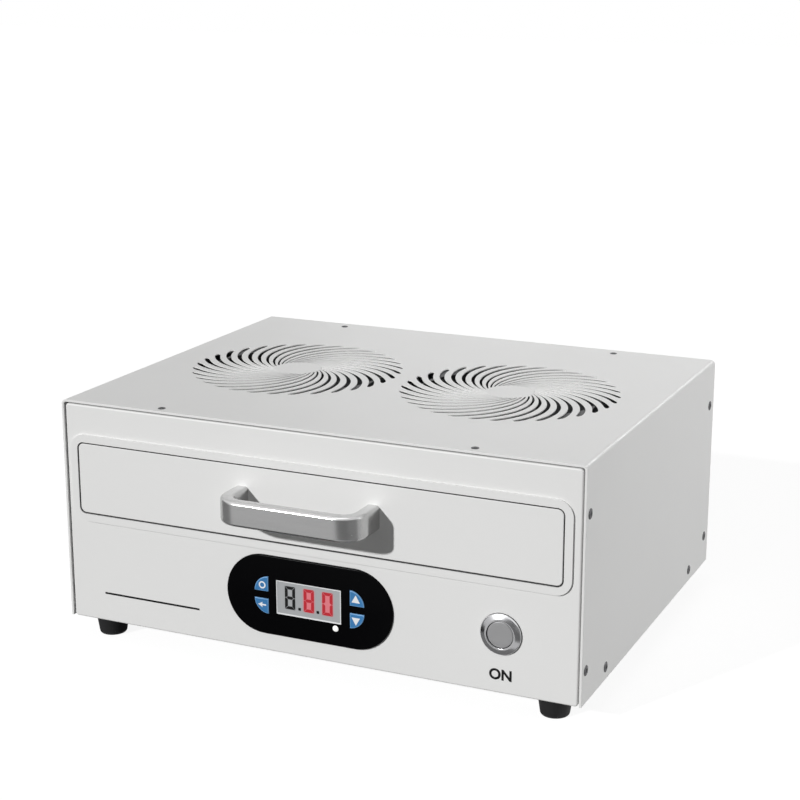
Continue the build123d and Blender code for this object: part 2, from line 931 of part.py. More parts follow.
# Rear rocker switch: frame and the rocker that tilts in it on two pins
switch_centre = (switch_x, inlet_mid)
with BuildPart() as switch_frame:
    plate_at(wall(case_depth), switch_centre, switch_flange, -switch_proud)
    plate_at(wall(case_depth - switch_depth), switch_centre, switch_box, -switch_depth)
    plate_at(wall(case_depth + switch_proud), switch_centre, switch_mouth, 8.6, Mode.SUBTRACT)
    disc(
        flank(switch_x - switch_box[0] / 2),
        (rocker_axis, inlet_mid),
        rocker_pin + shaft_fit,
        switch_box[0],
        Mode.SUBTRACT,
    )
keep(switch_frame.part, "switch_frame")


def rocker_outline():
    """Side view of the rocker, switched off: its upper end pressed in."""
    turn = math.radians(rocker_tilt)
    corners = ((-4.0, -4.0), (2.6, -8.2), (1.2, 0.0), (2.6, 8.2), (-4.0, 4.0))
    return [
        (
            rocker_axis + out * math.cos(turn) - up * math.sin(turn),
            inlet_mid + out * math.sin(turn) + up * math.cos(turn),
        )
        for out, up in corners
    ]


with BuildPart() as power_rocker:
    with BuildSketch(flank(switch_x - rocker_half)):
        with BuildLine():
            Polyline(rocker_outline(), close=True)
        make_face()
    extrude(amount=2 * rocker_half)
    disc(flank(switch_x - 6.3), (rocker_axis, inlet_mid), rocker_pin, 12.6)
keep(power_rocker.part, "power_rocker")

# Feet: tapered rubber blocks with moulded-in studs, and the studs' nuts on the base pan
with BuildPart() as foot:
    with BuildSketch():
        RegularPolygon(foot_low_radius, foot_sides)
    extrude(amount=foot_height, taper=-foot_taper)

foot_span = case_depth - 2 * foot_inset
case_middle = front_y + case_depth / 2
with BuildPart() as feet:
    with Locations((0, case_middle, 0)):
        with GridLocations(2 * foot_x, foot_span, 2, 2):
            add(foot.part)
keep(feet.part, "feet")

with BuildPart() as foot_nuts:
    with BuildSketch(level(base_top)):
        with Locations((0, case_depth / 2)):
            with GridLocations(2 * foot_x, foot_span, 2, 2):
                RegularPolygon(hex_flat, 6, major_radius=False)
    extrude(amount=hex_thick)
keep(foot_nuts.part, "foot_nuts")

# Heads of the cover screws
flange_screw_places = [
    (depth, height)
    for depth in flange_screw_depths
    for height in flange_screw_heights
]
base_screw_places = [(depth, base_screw_height) for depth in base_screw_depths]
with BuildPart() as cover_side_screws:
    for side in both:
        with BuildSketch(flank(side * case_width / 2)) as heads:
            with Locations(*flange_screw_places, *base_screw_places):
                RegularPolygon(screw_head, screw_sides)
        extrude(heads.sketch, amount=side * screw_rise)
keep(cover_side_screws.part, "cover_side_screws")

with BuildPart() as cover_top_screws:
    with BuildSketch(level(cover_height)):
        for depth in flange_screw_depths:
            with Locations((-top_screw_x, depth), (top_screw_x, depth)):
                RegularPolygon(top_screw_head, screw_sides)
    extrude(amount=screw_rise)
keep(cover_top_screws.part, "cover_top_screws")

# Clip nuts: folded strips over the flanges' free edges, which also space the cover off the flanges
with BuildPart() as clip_nut:
    with BuildSketch(Plane.XZ.offset(-clip_width / 2)):
        rectangle((-shadow_gap, clip_reach), (-sheet - shadow_gap, shadow_gap))
        rectangle((0, clip_reach), (-sheet, 0), Mode.SUBTRACT)
    extrude(amount=clip_width)


def clip_places():
    """Planes on the flanges' free edges: x into the sheet, z out towards the cover."""
    places = []
    edges = ((flange_depth, -1), (case_depth - flange_depth, 1))
    for side in both:
        for depth, inward in edges:
            for height in flange_screw_heights:
                spot = (side * panel_width / 2, front_y + depth, foot_height + height)
                places.append(Plane(origin=spot, x_dir=(0, inward, 0), z_dir=(side, 0, 0)))
            spot = (side * top_screw_x, front_y + depth, foot_height + panel_height)
            places.append(Plane(origin=spot, x_dir=(0, inward, 0), z_dir=(0, 0, 1)))
        for depth in base_screw_depths:
            spot = (side * panel_width / 2, front_y + depth, foot_height + base_flange_top)
            places.append(Plane(origin=spot, x_dir=(0, 0, -1), z_dir=(side, 0, 0)))
    return places


with BuildPart() as clip_nuts:
    with Locations(*clip_places()):
        add(clip_nut.part)
keep(clip_nuts.part, "clip_nuts")
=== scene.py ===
import bpy
import bmesh
import math
from mathutils import Matrix, Vector


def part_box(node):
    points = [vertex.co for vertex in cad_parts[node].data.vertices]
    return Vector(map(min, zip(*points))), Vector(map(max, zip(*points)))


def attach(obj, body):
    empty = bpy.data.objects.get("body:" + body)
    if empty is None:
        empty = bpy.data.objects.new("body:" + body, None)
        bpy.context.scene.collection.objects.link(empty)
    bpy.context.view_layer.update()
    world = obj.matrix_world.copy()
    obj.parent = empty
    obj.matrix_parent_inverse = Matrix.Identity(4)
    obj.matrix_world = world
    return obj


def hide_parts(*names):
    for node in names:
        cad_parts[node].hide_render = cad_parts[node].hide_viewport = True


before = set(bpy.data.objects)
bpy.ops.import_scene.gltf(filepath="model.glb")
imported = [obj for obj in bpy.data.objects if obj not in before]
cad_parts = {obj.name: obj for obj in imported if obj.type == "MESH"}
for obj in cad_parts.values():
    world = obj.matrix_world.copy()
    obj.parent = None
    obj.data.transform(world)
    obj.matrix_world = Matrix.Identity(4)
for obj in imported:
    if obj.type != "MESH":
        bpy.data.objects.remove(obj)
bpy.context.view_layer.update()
scene = bpy.context.scene
mm = 0.001
coverLow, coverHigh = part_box("top_cover")
panelFace = coverLow.y  # the front panel's face, and the edge of the cover
panelFoot = coverLow.z  # the panel's bottom edge
tipForward = Matrix.Rotation(math.pi / 2, 3, "X")  # turns what faced up to the front
faceRear = Matrix.Rotation(math.pi, 3, "Z")


def at(x, depth, height):
    # millimetres across, behind the panel's face and over its bottom edge
    return Vector((x * mm, panelFace + depth * mm, panelFoot + height * mm))


# finishes

def shade(red, green, blue):
    # a colour as it is read off a screen, for a colour socket
    parts = [c / 255 for c in (red, green, blue)]
    return tuple(c / 12.92 if c <= 0.04045 else ((c + 0.055) / 1.055) ** 2.4 for c in parts) + (1.0,)


def toned(colour, factor, lift=0.0):
    # the same colour, darker or lighter
    return tuple(min(1, c * factor + lift) for c in colour[:3]) + (1,)


class Wire:
    # a socket that sums can be written with
    def __init__(self, finish, socket):
        self.finish = finish
        self.socket = socket

    def maths(self, operation, *values):
        return self.finish.node("Math", {"operation": operation}, dict(enumerate(values)))

    def larger(self, other):
        return self.maths("MAXIMUM", self, other)

    def __add__(self, other):
        return self.maths("ADD", self, other)

    def __sub__(self, other):
        return self.maths("SUBTRACT", self, other)

    def __rsub__(self, other):
        return self.maths("SUBTRACT", other, self)

    def __mul__(self, other):
        return self.maths("MULTIPLY", self, other)

    def __abs__(self):
        return self.maths("ABSOLUTE", self)

    __radd__ = __add__
    __rmul__ = __mul__


class Finish:
    # a material, or a world, and the nodes that make it
    def __init__(self, name, kind="materials"):
        self.owner = getattr(bpy.data, kind).new(name)
        self.owner.use_nodes = True
        self.tree = self.owner.node_tree
        self.tree.nodes.clear()

    def node(self, kind, settings=None, inputs=None, output=0):
        made = self.tree.nodes.new("ShaderNode" + kind)
        for key, value in (settings or {}).items():
            setattr(made, key, value)
        for key, value in (inputs or {}).items():
            if isinstance(value, Wire):
                self.tree.links.new(value.socket, made.inputs[key])
            else:
                made.inputs[key].default_value = value
        return Wire(self, made.outputs[output]) if made.outputs else None

    def place(self, scale=(1, 1, 1)):
        spot = self.node("TexCoord", output="Object")
        return self.node("Mapping", {}, {"Vector": spot, "Scale": scale}) if scale != (1, 1, 1) else spot

    def along(self, axis):
        return self.node("SeparateXYZ", {}, {"Vector": self.place()}, output=axis)

    def noise(self, scale, detail=3.0, stretch=(1, 1, 1)):
        return self.node("TexNoise", {}, {"Vector": self.place(stretch), "Scale": scale, "Detail": detail})

    def mix(self, factor, first, second):
        return self.node("Mix", {"data_type": "RGBA"}, {0: factor, 6: first, 7: second}, output=2)

    def ramp(self, value, low, high):
        # 0 below low, 1 above high
        limits = {"Value": value, "From Min": low, "From Max": high}
        return self.node("MapRange", {"interpolation_type": "SMOOTHSTEP"}, limits)

    def bump(self, height, distance, strength):
        return self.node("Bump", {}, {"Height": height, "Distance": distance, "Strength": strength})

    def surface(self, **sockets):
        names = {"colour": "Base Color", "rough": "Roughness", "metal": "Metallic", "normal": "Normal",
                 "specular": "Specular IOR Level", "glow": "Emission Color",
                 "glowStrength": "Emission Strength"}
        shader = self.node("BsdfPrincipled", {}, {names[key]: value for key, value in sockets.items()})
        self.node("OutputMaterial", {}, {"Surface": shader})
        return self.owner


def powderCoat(name, colour):
    coat = Finish(name)
    drift = coat.noise(9, 2)
    peel = coat.noise(900, 2)
    tint = coat.mix(drift, colour, toned(colour, 0.975))
    return coat.surface(colour=tint, rough=0.40 + 0.08 * coat.noise(60, 2), specular=0.4,
                        normal=coat.bump(peel, 0.00004, 0.35))


def rolledSteel(name, colour, stretch=(1, 1, 1), rough=0.32):
    # steel with its marks, which a stretch draws out along one way
    steel = Finish(name)
    marks = steel.noise(420, 4, stretch)
    cloud = steel.noise(28, 3)
    tint = steel.mix(cloud, colour, toned(colour, 0.82))
    return steel.surface(colour=tint, metal=1.0, rough=rough + 0.16 * marks,
                         normal=steel.bump(marks, 0.00002, 0.5))


def zincSheet(name):
    # galvanised sheet with its spangle
    sheet = Finish(name)
    spangle = sheet.node("TexVoronoi", {}, {"Vector": sheet.place(), "Scale": 190.0}, output="Color")
    patch = sheet.node("SeparateColor", {}, {"Color": spangle})
    tint = sheet.mix(patch, shade(150, 154, 158), shade(186, 189, 192))
    return sheet.surface(colour=tint, metal=0.9, rough=0.36 + 0.14 * patch)


def brushedBar(name, colour, rough=0.27, metal=0.55):
    # satin aluminium, brushed from side to side
    bar = Finish(name)
    lines = bar.noise(260, 5, (0.06, 1, 1))
    fine = bar.noise(1800, 2, (0.05, 1, 1))
    tint = bar.mix(lines, colour, toned(colour, 0.86))
    return bar.surface(colour=tint, metal=metal, rough=rough + 0.12 * lines,
                       normal=bar.bump(fine, 0.00002, 0.5))


def moulded(name, colour, rough=0.5, grain=1400, depth=0.00004, specular=0.4):
    plastic = Finish(name)
    skin = plastic.noise(grain, 3)
    tint = plastic.mix(plastic.noise(45, 2), colour, toned(colour, 1.18))
    return plastic.surface(colour=tint, rough=rough + 0.12 * skin, specular=specular,
                           normal=plastic.bump(skin, depth, 0.5))


def rubber(name, colour):
    gum = Finish(name)
    bloom = gum.noise(70, 4)
    tint = gum.mix(bloom, colour, toned(colour, 1.6, 0.004))
    return gum.surface(colour=tint, rough=0.62 + 0.2 * bloom, specular=0.3,
                       normal=gum.bump(gum.noise(900, 3), 0.00006, 0.6))


def polished(name, colour, rough):
    chrome = Finish(name)
    haze = chrome.noise(40, 2)
    return chrome.surface(colour=colour, metal=1.0, rough=rough + 0.06 * haze)


def darkGloss(name, colour):
    # black film over the timer
    film = Finish(name)
    dust = film.noise(500, 3)
    tint = film.mix(dust, colour, toned(colour, 1.35))
    return film.surface(colour=tint, rough=0.2 + 0.05 * dust, specular=0.03)


def flatInk(name, colour, rough=0.45):
    ink = Finish(name)
    speck = ink.noise(2500, 2)
    tint = ink.mix(speck, colour, toned(colour, 0.9))
    return ink.surface(colour=tint, rough=rough + 0.05 * speck, specular=0.3)


def litInk(name, colour, strength):
    # a lit segment or lamp
    light = Finish(name)
    tint = light.mix(light.noise(900, 2), colour, toned(colour, 0.93))
    return light.surface(colour=tint, rough=0.4, glow=tint, glowStrength=strength)


def circuitBoard(name):
    board = Finish(name)
    bricks = {"Vector": board.place(), "Scale": 260.0, "Mortar Size": 0.12}
    tracks = board.node("TexBrick", {"offset": 0.5}, bricks, output=1)
    tint = board.mix(tracks, shade(14, 84, 40), shade(30, 122, 62))
    return board.surface(colour=tint, rough=0.35, specular=0.5)


# half sizes of the red glow painted on the window round the red figures, where it starts to fade and where it
# is gone
paintedRedGlow = {"across": (2.2, 5.0), "up": (5.4, 8.4), "strength": 0.85}


def windowGlass(name, middles):
    # grey display window with the red figures' glow painted round them
    glass = Finish(name)
    glow = 0.0
    for middle in middles:
        across = 1 - glass.ramp(abs(glass.along(0) - middle.x), *[half * mm for half in paintedRedGlow["across"]])
        up = 1 - glass.ramp(abs(glass.along(2) - middle.z), *[half * mm for half in paintedRedGlow["up"]])
        glow = across * up + glow
    # the red figures' light, painted into the glass's colour
    tint = glass.mix(glow * paintedRedGlow["strength"], shade(172, 174, 176), shade(236, 118, 128))
    return glass.surface(colour=tint, rough=0.3 + 0.05 * glass.noise(300, 2), specular=0.3)


paint = powderCoat("whitePaint", shade(232, 232, 231))
zinc = zincSheet("zincSheet")
trayMetal = rolledSteel("traySteel", shade(196, 199, 202), (1, 0.05, 1), 0.26)
slideMetal = rolledSteel("slideSteel", shade(188, 191, 195), (1, 0.04, 1), 0.22)
lampMetal = rolledSteel("lampAluminium", shade(200, 203, 206), (1, 0.05, 1), 0.34)
handleMetal = brushedBar("satinAluminium", shade(207, 207, 207), rough=0.18, metal=0.9)
capMetal = brushedBar("brushedCap", shade(176, 176, 177), rough=0.3)
ringMetal = polished("ringMetal", shade(226, 226, 228), 0.15)
screwMetal = rolledSteel("blackenedScrew", shade(74, 74, 76), rough=0.34)
zincScrew = rolledSteel("zincScrew", shade(176, 179, 182), rough=0.3)
springSteel = rolledSteel("springSteel", shade(92, 93, 96), rough=0.34)
pinMetal = polished("nickelPin", shade(214, 205, 178), 0.18)
bezelFilm = darkGloss("blackFilm", shade(7, 7, 8))
blackMould = moulded("blackMoulding", shade(30, 30, 31), 0.48)
fanMould = moulded("fanMoulding", shade(44, 44, 46), 0.52)
rockerMould = moulded("rockerMoulding", shade(26, 26, 27), 0.24, 900, 0.00002)
keyMould = moulded("blueKey", shade(52, 116, 170), 0.42, 1800, 0.00002)
# paler blue on the keys' rounded rims: a painted highlight
keyEdgeHighlight = moulded("paintedKeyHighlight", shade(110, 160, 208), 0.4, 1800, 0.00002)
boardWhite = flatInk("boardLacquer", shade(236, 236, 232), 0.4)
boardGreen = circuitBoard("circuitBoard")
lampLens = moulded("lampLens", shade(206, 196, 226), 0.2, 900, 0.00001, specular=0.5)
supplyMetal = rolledSteel("supplyCase", shade(190, 192, 194), (0.05, 1, 1))
driverMetal = moulded("driverCase", shade(176, 178, 180), 0.5, 700, 0.00005)
magnetMetal = polished("magnet", shade(176, 177, 180), 0.24)
footRubber = rubber("footRubber", shade(26, 26, 27))
matRubber = rubber("matSilicone", shade(142, 144, 146))
blackInk = flatInk("blackInk", shade(8, 8, 9))
# dark grey for the strips in the drawer's gaps: painted shade
gapShadeTape = flatInk("gapShadeTape", shade(76, 76, 77), 0.7)
# grey for the band in the gap between panel and cover: painted shade
coverGapGrey = flatInk("coverGapGrey", shade(150, 150, 150), 0.7)
whiteInk = flatInk("whiteInk", shade(240, 242, 244))
rimInk = flatInk("windowRim", shade(242, 243, 244))
darkSegment = flatInk("darkSegment", shade(9, 9, 10), 0.5)
redSegment = litInk("redSegment", shade(186, 38, 50), 0.1)
lampWhite = litInk("indicatorLens", shade(240, 240, 238), 0.5)
print("finishes made")


# working with meshes: they face the front, numbers are millimetres, and points and vectors are metres

def newVerts(made):
    return [v for v in made["geom"] if isinstance(v, bmesh.types.BMVert)]


def chain(bm, points):
    # a line through the points
    verts = [bm.verts.new(point) for point in points]
    for first, second in zip(verts, verts[1:]):
        bm.edges.new((first, second))
    return verts


def sweep(bm, centre, axis, angle, steps, full=False):
    # spins what the mesh holds round an axis
    bmesh.ops.spin(bm, geom=bm.verts[:] + bm.edges[:], cent=centre, axis=axis, dvec=(0, 0, 0), angle=angle,
                   steps=steps, use_merge=full, use_duplicate=False)


def uprightPlate(width, height, corner=0.0, steps=8):
    # a flat outline about the origin
    bm = bmesh.new()
    bmesh.ops.create_grid(bm, x_segments=1, y_segments=1, size=0.5)
    bmesh.ops.scale(bm, vec=(width * mm, height * mm, 1), verts=bm.verts)
    if corner:
        bmesh.ops.bevel(bm, geom=bm.verts[:], offset=corner * mm, segments=steps, profile=0.5,
                        affect="VERTICES", material=-1)
        bmesh.ops.remove_doubles(bm, verts=bm.verts, dist=1e-6)
    bmesh.ops.rotate(bm, matrix=tipForward, verts=bm.verts)
    return bm


def drawOut(bm, vector):
    # draws a flat outline out into a solid
    made = bmesh.ops.extrude_face_region(bm, geom=bm.faces[:])
    bmesh.ops.translate(bm, vec=vector, verts=newVerts(made))
    bmesh.ops.recalc_face_normals(bm, faces=bm.faces)
    return bm


def pushOut(bm, reach):
    # gives a flat outline a thickness towards the front
    return drawOut(bm, (0, -reach * mm, 0))


def frontEdges(bm):
    face = min(v.co.y for v in bm.verts)
    return [e for e in bm.edges if all(v.co.y < face + 1e-7 for v in e.verts)]


def soften(bm, edges, reach, steps=4):
    bmesh.ops.bevel(bm, geom=edges, offset=reach * mm, segments=steps, profile=0.5, affect="EDGES",
                    material=-1)
    return bm


def roundEnd(width):
    return width / 2 - 0.02  # a corner that takes up nearly half, so that two arcs don't meet in a point


def block(width, height, corner, thick, edge=0.0, steps=8):
    # a solid plate with rounded corners and a rounded front rim
    bm = pushOut(uprightPlate(width, height, corner, steps), thick)
    return soften(bm, frontEdges(bm), edge) if edge else bm


def skirt(bm, deep):
    # walls that run back from an outline's edges
    made = bmesh.ops.extrude_edge_only(bm, edges=bm.edges[:])
    bmesh.ops.translate(bm, vec=(0, deep * mm, 0), verts=newVerts(made))
    bmesh.ops.recalc_face_normals(bm, faces=bm.faces)


def pan(width, height, corner, deep, bend, wall):
    # a folded sheet, open behind
    bm = uprightPlate(width, height, corner, steps=6)
    skirt(bm, deep)
    soften(bm, frontEdges(bm), bend, steps=5)
    if min(bm.faces, key=lambda f: f.calc_center_median().y).normal.y > 0:
        bmesh.ops.reverse_faces(bm, faces=bm.faces)
    bmesh.ops.solidify(bm, geom=bm.faces[:], thickness=wall * mm)
    return bm


def band(width, height, corner, deep, wall):
    # a strip laid round an outline, on its outside for a wall above 0
    bm = uprightPlate(width, height, corner)
    bmesh.ops.delete(bm, geom=bm.faces[:], context="FACES_ONLY")
    skirt(bm, deep)
    bmesh.ops.solidify(bm, geom=bm.faces[:], thickness=-wall * mm)
    return bm


def turned(points, steps=48):
    # spins a profile of radius and depth round a line from front to rear
    bm = bmesh.new()
    verts = chain(bm, [(radius * mm, depth * mm, 0) for radius, depth in points])
    if points[0][0] and points[-1][0]:  # a ring; a profile that starts and ends on the axis closes there
        bm.edges.new((verts[-1], verts[0]))
    sweep(bm, (0, 0, 0), (0, 1, 0), 2 * math.pi, steps, full=True)
    bmesh.ops.remove_doubles(bm, verts=bm.verts, dist=1e-6)
    bmesh.ops.recalc_face_normals(bm, faces=bm.faces)
    return bm


def rod(radius, start, end, steps):
    return turned([(0, start), (radius, start), (radius, end), (0, end)], steps)


def flatRing(inner, outer, thick, steps):
    return turned([(inner, 0), (inner, -thick), (outer, -thick), (outer, 0)], steps)


def move(bm, spot, turn=None):
    if turn is not None:
        bmesh.ops.rotate(bm, matrix=turn, verts=bm.verts)
    bmesh.ops.translate(bm, vec=spot, verts=bm.verts)
    return bm


def join(*parts):
    # puts several meshes into the first
    for other in parts[1:]:
        carrier = bpy.data.meshes.new("carrier")
        other.to_mesh(carrier)
        other.free()
        parts[0].from_mesh(carrier)
        bpy.data.meshes.remove(carrier)
    return parts[0]


def repeat(bm, places):
    # a copy of the mesh at each place, which is a point and a turn
    base = bpy.data.meshes.new("base")
    bm.to_mesh(base)
    bm.free()
    whole = bmesh.new()
    for spot, turn in places:
        before = len(whole.verts)
        whole.from_mesh(base)
        whole.verts.ensure_lookup_table()
        copy = whole.verts[before:]
        bmesh.ops.rotate(whole, matrix=turn, verts=copy)
        bmesh.ops.translate(whole, vec=spot, verts=copy)
    bpy.data.meshes.remove(base)
    return whole


def newObject(name, bm, *finishes):
    mesh = bpy.data.meshes.new(name)
    bm.to_mesh(mesh)
    bm.free()
    piece = bpy.data.objects.new(name, mesh)
    scene.collection.objects.link(piece)
    for finish in finishes:
        mesh.materials.append(finish)
    return piece


def settleModifiers(piece):
    bpy.context.view_layer.update()
    whole = piece.evaluated_get(bpy.context.evaluated_depsgraph_get())
    mesh = bpy.data.meshes.new_from_object(whole)
    piece.modifiers.clear()
    piece.data = mesh


def carve(piece, tool, operation="DIFFERENCE"):
    # cuts a piece with a closed mesh, or adds it
    other = newObject("tool", tool)
    cut = piece.modifiers.new("cut", "BOOLEAN")
    cut.operation = operation
    cut.solver = "EXACT"
    cut.object = other
    settleModifiers(piece)
    bpy.data.objects.remove(other)


def edgeBreak(piece, width, limit, steps=2):
    # rounds what turns by more than the limit, in degrees
    broken = piece.modifiers.new("edges", "BEVEL")
    broken.width = width * mm
    broken.segments = steps
    broken.limit_method = "ANGLE"
    broken.angle_limit = math.radians(limit)
    settleModifiers(piece)


def fit(piece, body, slot, *nodes, angle=38):
    # smooth where it is round, sharp where it is folded, and on its CAD body
    bm = bmesh.new()
    bm.from_mesh(piece.data)
    bmesh.ops.remove_doubles(bm, verts=bm.verts, dist=1e-7)
    for face in bm.faces:
        face.smooth = True
    for edge in bm.edges:
        edge.smooth = len(edge.link_faces) == 2 and edge.calc_face_angle(0) < math.radians(angle)
    bm.to_mesh(piece.data)
    bm.free()
    weigh = piece.modifiers.new("normals", "WEIGHTED_NORMAL")
    weigh.keep_sharp = True
    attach(piece, body)
    if nodes:
        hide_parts(*nodes)


# top cover with its two spiral grilles

# the sheet keeps its thickness up to fullTo from its front and rear edges, and is thin from thinFrom on
cover = {"sheet": 1.5, "bend": 3.2, "lip": 0.18, "drop": 0.85, "length": 270.0, "fullTo": 2.2,
         "thinFrom": 2.8}
grille = {"x": 75.7, "depth": 133.0, "slots": 32, "arc": 49.5, "offset": 38.8, "start": 15.5, "end": 70.2,
          "narrow": 1.1, "wide": 3.9, "round": 22, "blunt": 0.04, "first": -89.7, "steps": 26, "cut": 6.0}
coverTop = coverHigh.z - cover["drop"] * mm  # its top face lies a little lower than the solid's


def slotReach(radius):
    # turn on the slot's own circle, from the line to the grille's middle, at a radius from that middle
    arc, offset = grille["arc"], grille["offset"]
    return math.acos((arc ** 2 + offset ** 2 - radius ** 2) / (2 * arc * offset))


def slotCutter():
    arc, offset = grille["arc"] * mm, grille["offset"] * mm
    first, last = slotReach(grille["start"]), slotReach(grille["end"])
    centre = Vector((offset, 0, 0))
    way = Vector((math.cos(first), -math.sin(first), 0))
    bm = bmesh.new()
    chain(bm, [centre - way * (arc + side * 0.5 * mm) for side in (-1, 1)])
    sweep(bm, centre, (0, 0, 1), first - last, grille["steps"])
    for v in bm.verts:  # wider outwards, with a round outer end
        ray = v.co - centre
        along = (v.co.length / mm - grille["start"]) / (grille["end"] - grille["start"])
        half = 0.5 * mm * (grille["narrow"] + (grille["wide"] - grille["narrow"]) * along)
        toEnd = max(0.0, 1 - (1 - along) * grille["round"])
        half *= math.sqrt(max(grille["blunt"], 1 - toEnd ** 2))
        v.co = centre + ray.normalized() * (arc + math.copysign(half, ray.length - arc))
    outer = math.atan2(arc * math.sin(last), offset - arc * math.cos(last))
    turn = Matrix.Rotation(math.radians(grille["first"]) - outer, 3, "Z")
    bmesh.ops.rotate(bm, matrix=turn, verts=bm.verts)
    return drawOut(bm, (0, 0, grille["cut"] * mm))


def thinBehindEdges(bm):
    # the fans and clip nuts come up to the solid's sheet, so the underside stays up there
    for depth in (cover["fullTo"], cover["thinFrom"]):
        for spot in (depth, cover["length"] - depth):
            bmesh.ops.bisect_plane(bm, geom=bm.verts[:] + bm.edges[:] + bm.faces[:], plane_co=at(0, spot, 0),
                                   plane_no=(0, 1, 0))
    edge = (cover["fullTo"] + cover["thinFrom"]) / 2
    front, back = at(0, edge, 0).y, at(0, cover["length"] - edge, 0).y
    under, half = coverTop - cover["sheet"] * mm, coverHigh.x - cover["sheet"] * mm
    inner = (cover["bend"] - cover["sheet"]) * mm
    near = 1e-6
    for v in bm.verts:
        x, y, z = v.co
        if abs(x) < half + near and front < y < back and under - inner < z < under + near:
            v.co.z += (coverHigh.z - coverTop) * (z - under + inner) / inner


def makeCover():
    corner = Vector((coverHigh.x, coverHigh.y, coverTop))
    bm = bmesh.new()
    bmesh.ops.create_cube(bm, size=1.0)
    bmesh.ops.scale(bm, vec=corner - coverLow, verts=bm.verts)
    bmesh.ops.translate(bm, vec=(coverLow + corner) / 2, verts=bm.verts)
    openings = [f for f in bm.faces if f.normal.z < -0.5 or abs(f.normal.y) > 0.5]
    bmesh.ops.delete(bm, geom=openings, context="FACES")
    soften(bm, [e for e in bm.edges if len(e.link_faces) == 2], cover["bend"], steps=7)
    bmesh.ops.solidify(bm, geom=bm.faces[:], thickness=cover["sheet"] * mm)
    thinBehindEdges(bm)
    piece = newObject("topCover", bm, paint)
    edgeBreak(piece, cover["lip"], limit=60, steps=3)
    turns = [Matrix.Rotation(2 * math.pi * step / grille["slots"], 3, "Z") for step in range(grille["slots"])]
    for side in (-1, 1):
        middle = at(side * grille["x"], grille["depth"], 0)
        middle.z = coverHigh.z - grille["cut"] / 2 * mm
        carve(piece, repeat(slotCutter(), [(middle, turn) for turn in turns]))
    fit(piece, "case", "case_paint", "top_cover", angle=30)


makeCover()
print("cover made")


# front panel, drawer front, seals and handle

timer = {"x": -0.2, "mid": 36.9, "size": (111.5, 50.7), "proud": 1.6, "edge": 0.8, "hole": (87.8, 39.8)}
button = {"x": 123.4, "mid": 36.9, "hole": 11.3}
panel = {"x": 0.3, "size": (340.0, 141.2), "corner": 2.0, "deep": 14.0, "bend": 1.1, "sheet": 1.5,
         "edge": 0.15, "cut": 8.0}
surround = {"x": -0.45, "mid": 94.1, "outline": (332.0, 56.7, 10.0), "rise": 1.25, "root": 1.0, "roll": 0.1,
            "hem": (325.2, 49.8, 5.9), "hemFront": 0.5, "hemBack": 6.0, "mouth": (322.2, 46.8, 4.4),
            "mouthCut": 20.0, "mouthBack": 12.0}
drawer = {"size": (320.4, 44.9), "corner": 3.5, "deep": 12.0, "edge": 0.4, "sheet": 1.5, "proud": 1.0}
# sizes of the strips that paint shade into the gaps round the drawer, and the lap that the cover's gap band
# uses too
gapShade = {"thick": 0.2, "lap": 0.02, "back": 0.45, "drawerDeep": 4.0, "mouthDeep": 5.0}
# sizes of the grey band that paints shade into the gap between panel and cover
coverGapBand = {"thick": 0.6, "deep": 6.0, "back": 1.4, "low": 1.6}
handle = {"x": -0.6, "half": 47.7, "reach": 31.6, "foot": 1.0, "bar": 8.4, "low": 88.7, "high": 103.9,
          "outer": 16.0, "edge": 2.0, "edgeSteps": 6, "bendSteps": 14}


def atDrawer(depth):
    return at(surround["x"], depth, surround["mid"])


def foldedPanel(name, spot, turn=None):
    shell = pan(*panel["size"], panel["corner"], panel["deep"], panel["bend"], panel["sheet"])
    return newObject(name, move(shell, spot, turn), paint)


def makeFrontPanel():
    piece = foldedPanel("frontPanel", at(panel["x"], 0, panel["size"][1] / 2))
    raised = block(*surround["outline"], surround["rise"] + surround["root"], surround["roll"], steps=10)
    carve(piece, move(raised, atDrawer(surround["root"])), "UNION")
    hem = block(*surround["hem"], surround["hemBack"] - surround["hemFront"])
    carve(piece, move(hem, atDrawer(surround["hemBack"])), "UNION")
    carve(piece, move(block(*surround["mouth"], surround["mouthCut"]), atDrawer(surround["mouthBack"])))
    cut = panel["cut"]
    timerHole = move(block(*timer["hole"], 0.0, cut), at(timer["x"], cut / 2, timer["mid"]))
    buttonHole = move(rod(button["hole"], -cut / 2, cut / 2, steps=32), at(button["x"], 0, button["mid"]))
    carve(piece, join(timerHole, buttonHole))
    edgeBreak(piece, panel["edge"], limit=62)
    fit(piece, "case", "case_paint", "front_panel", angle=33)


def makeDrawerFront():
    shell = pan(*drawer["size"], drawer["corner"], drawer["deep"], drawer["edge"], drawer["sheet"])
    piece = newObject("drawerFront", move(shell, atDrawer(-drawer["proud"])), paint)
    fit(piece, "drawer", "drawer_paint", "drawer_front", angle=33)


def makeGapShadeStrips():
    # dark strips round the drawer and inside its mouth: painted shade that darkens the gap lines round the
    # drawer
    lap, start = gapShade["lap"], gapShade["back"] - drawer["proud"]
    width, height = drawer["size"]
    corner = drawer["corner"] + lap
    strip = band(width + 2 * lap, height + 2 * lap, corner, gapShade["drawerDeep"], gapShade["thick"])
    fit(newObject("drawerGapShade", move(strip, atDrawer(start)), gapShadeTape), "drawer", "drawer_paint")
    width, height, corner = surround["mouth"]
    strip = band(width - 2 * lap, height - 2 * lap, corner - lap, gapShade["mouthDeep"], -gapShade["thick"])
    fit(newObject("mouthGapShade", move(strip, atDrawer(start)), gapShadeTape), "case", "case_paint")


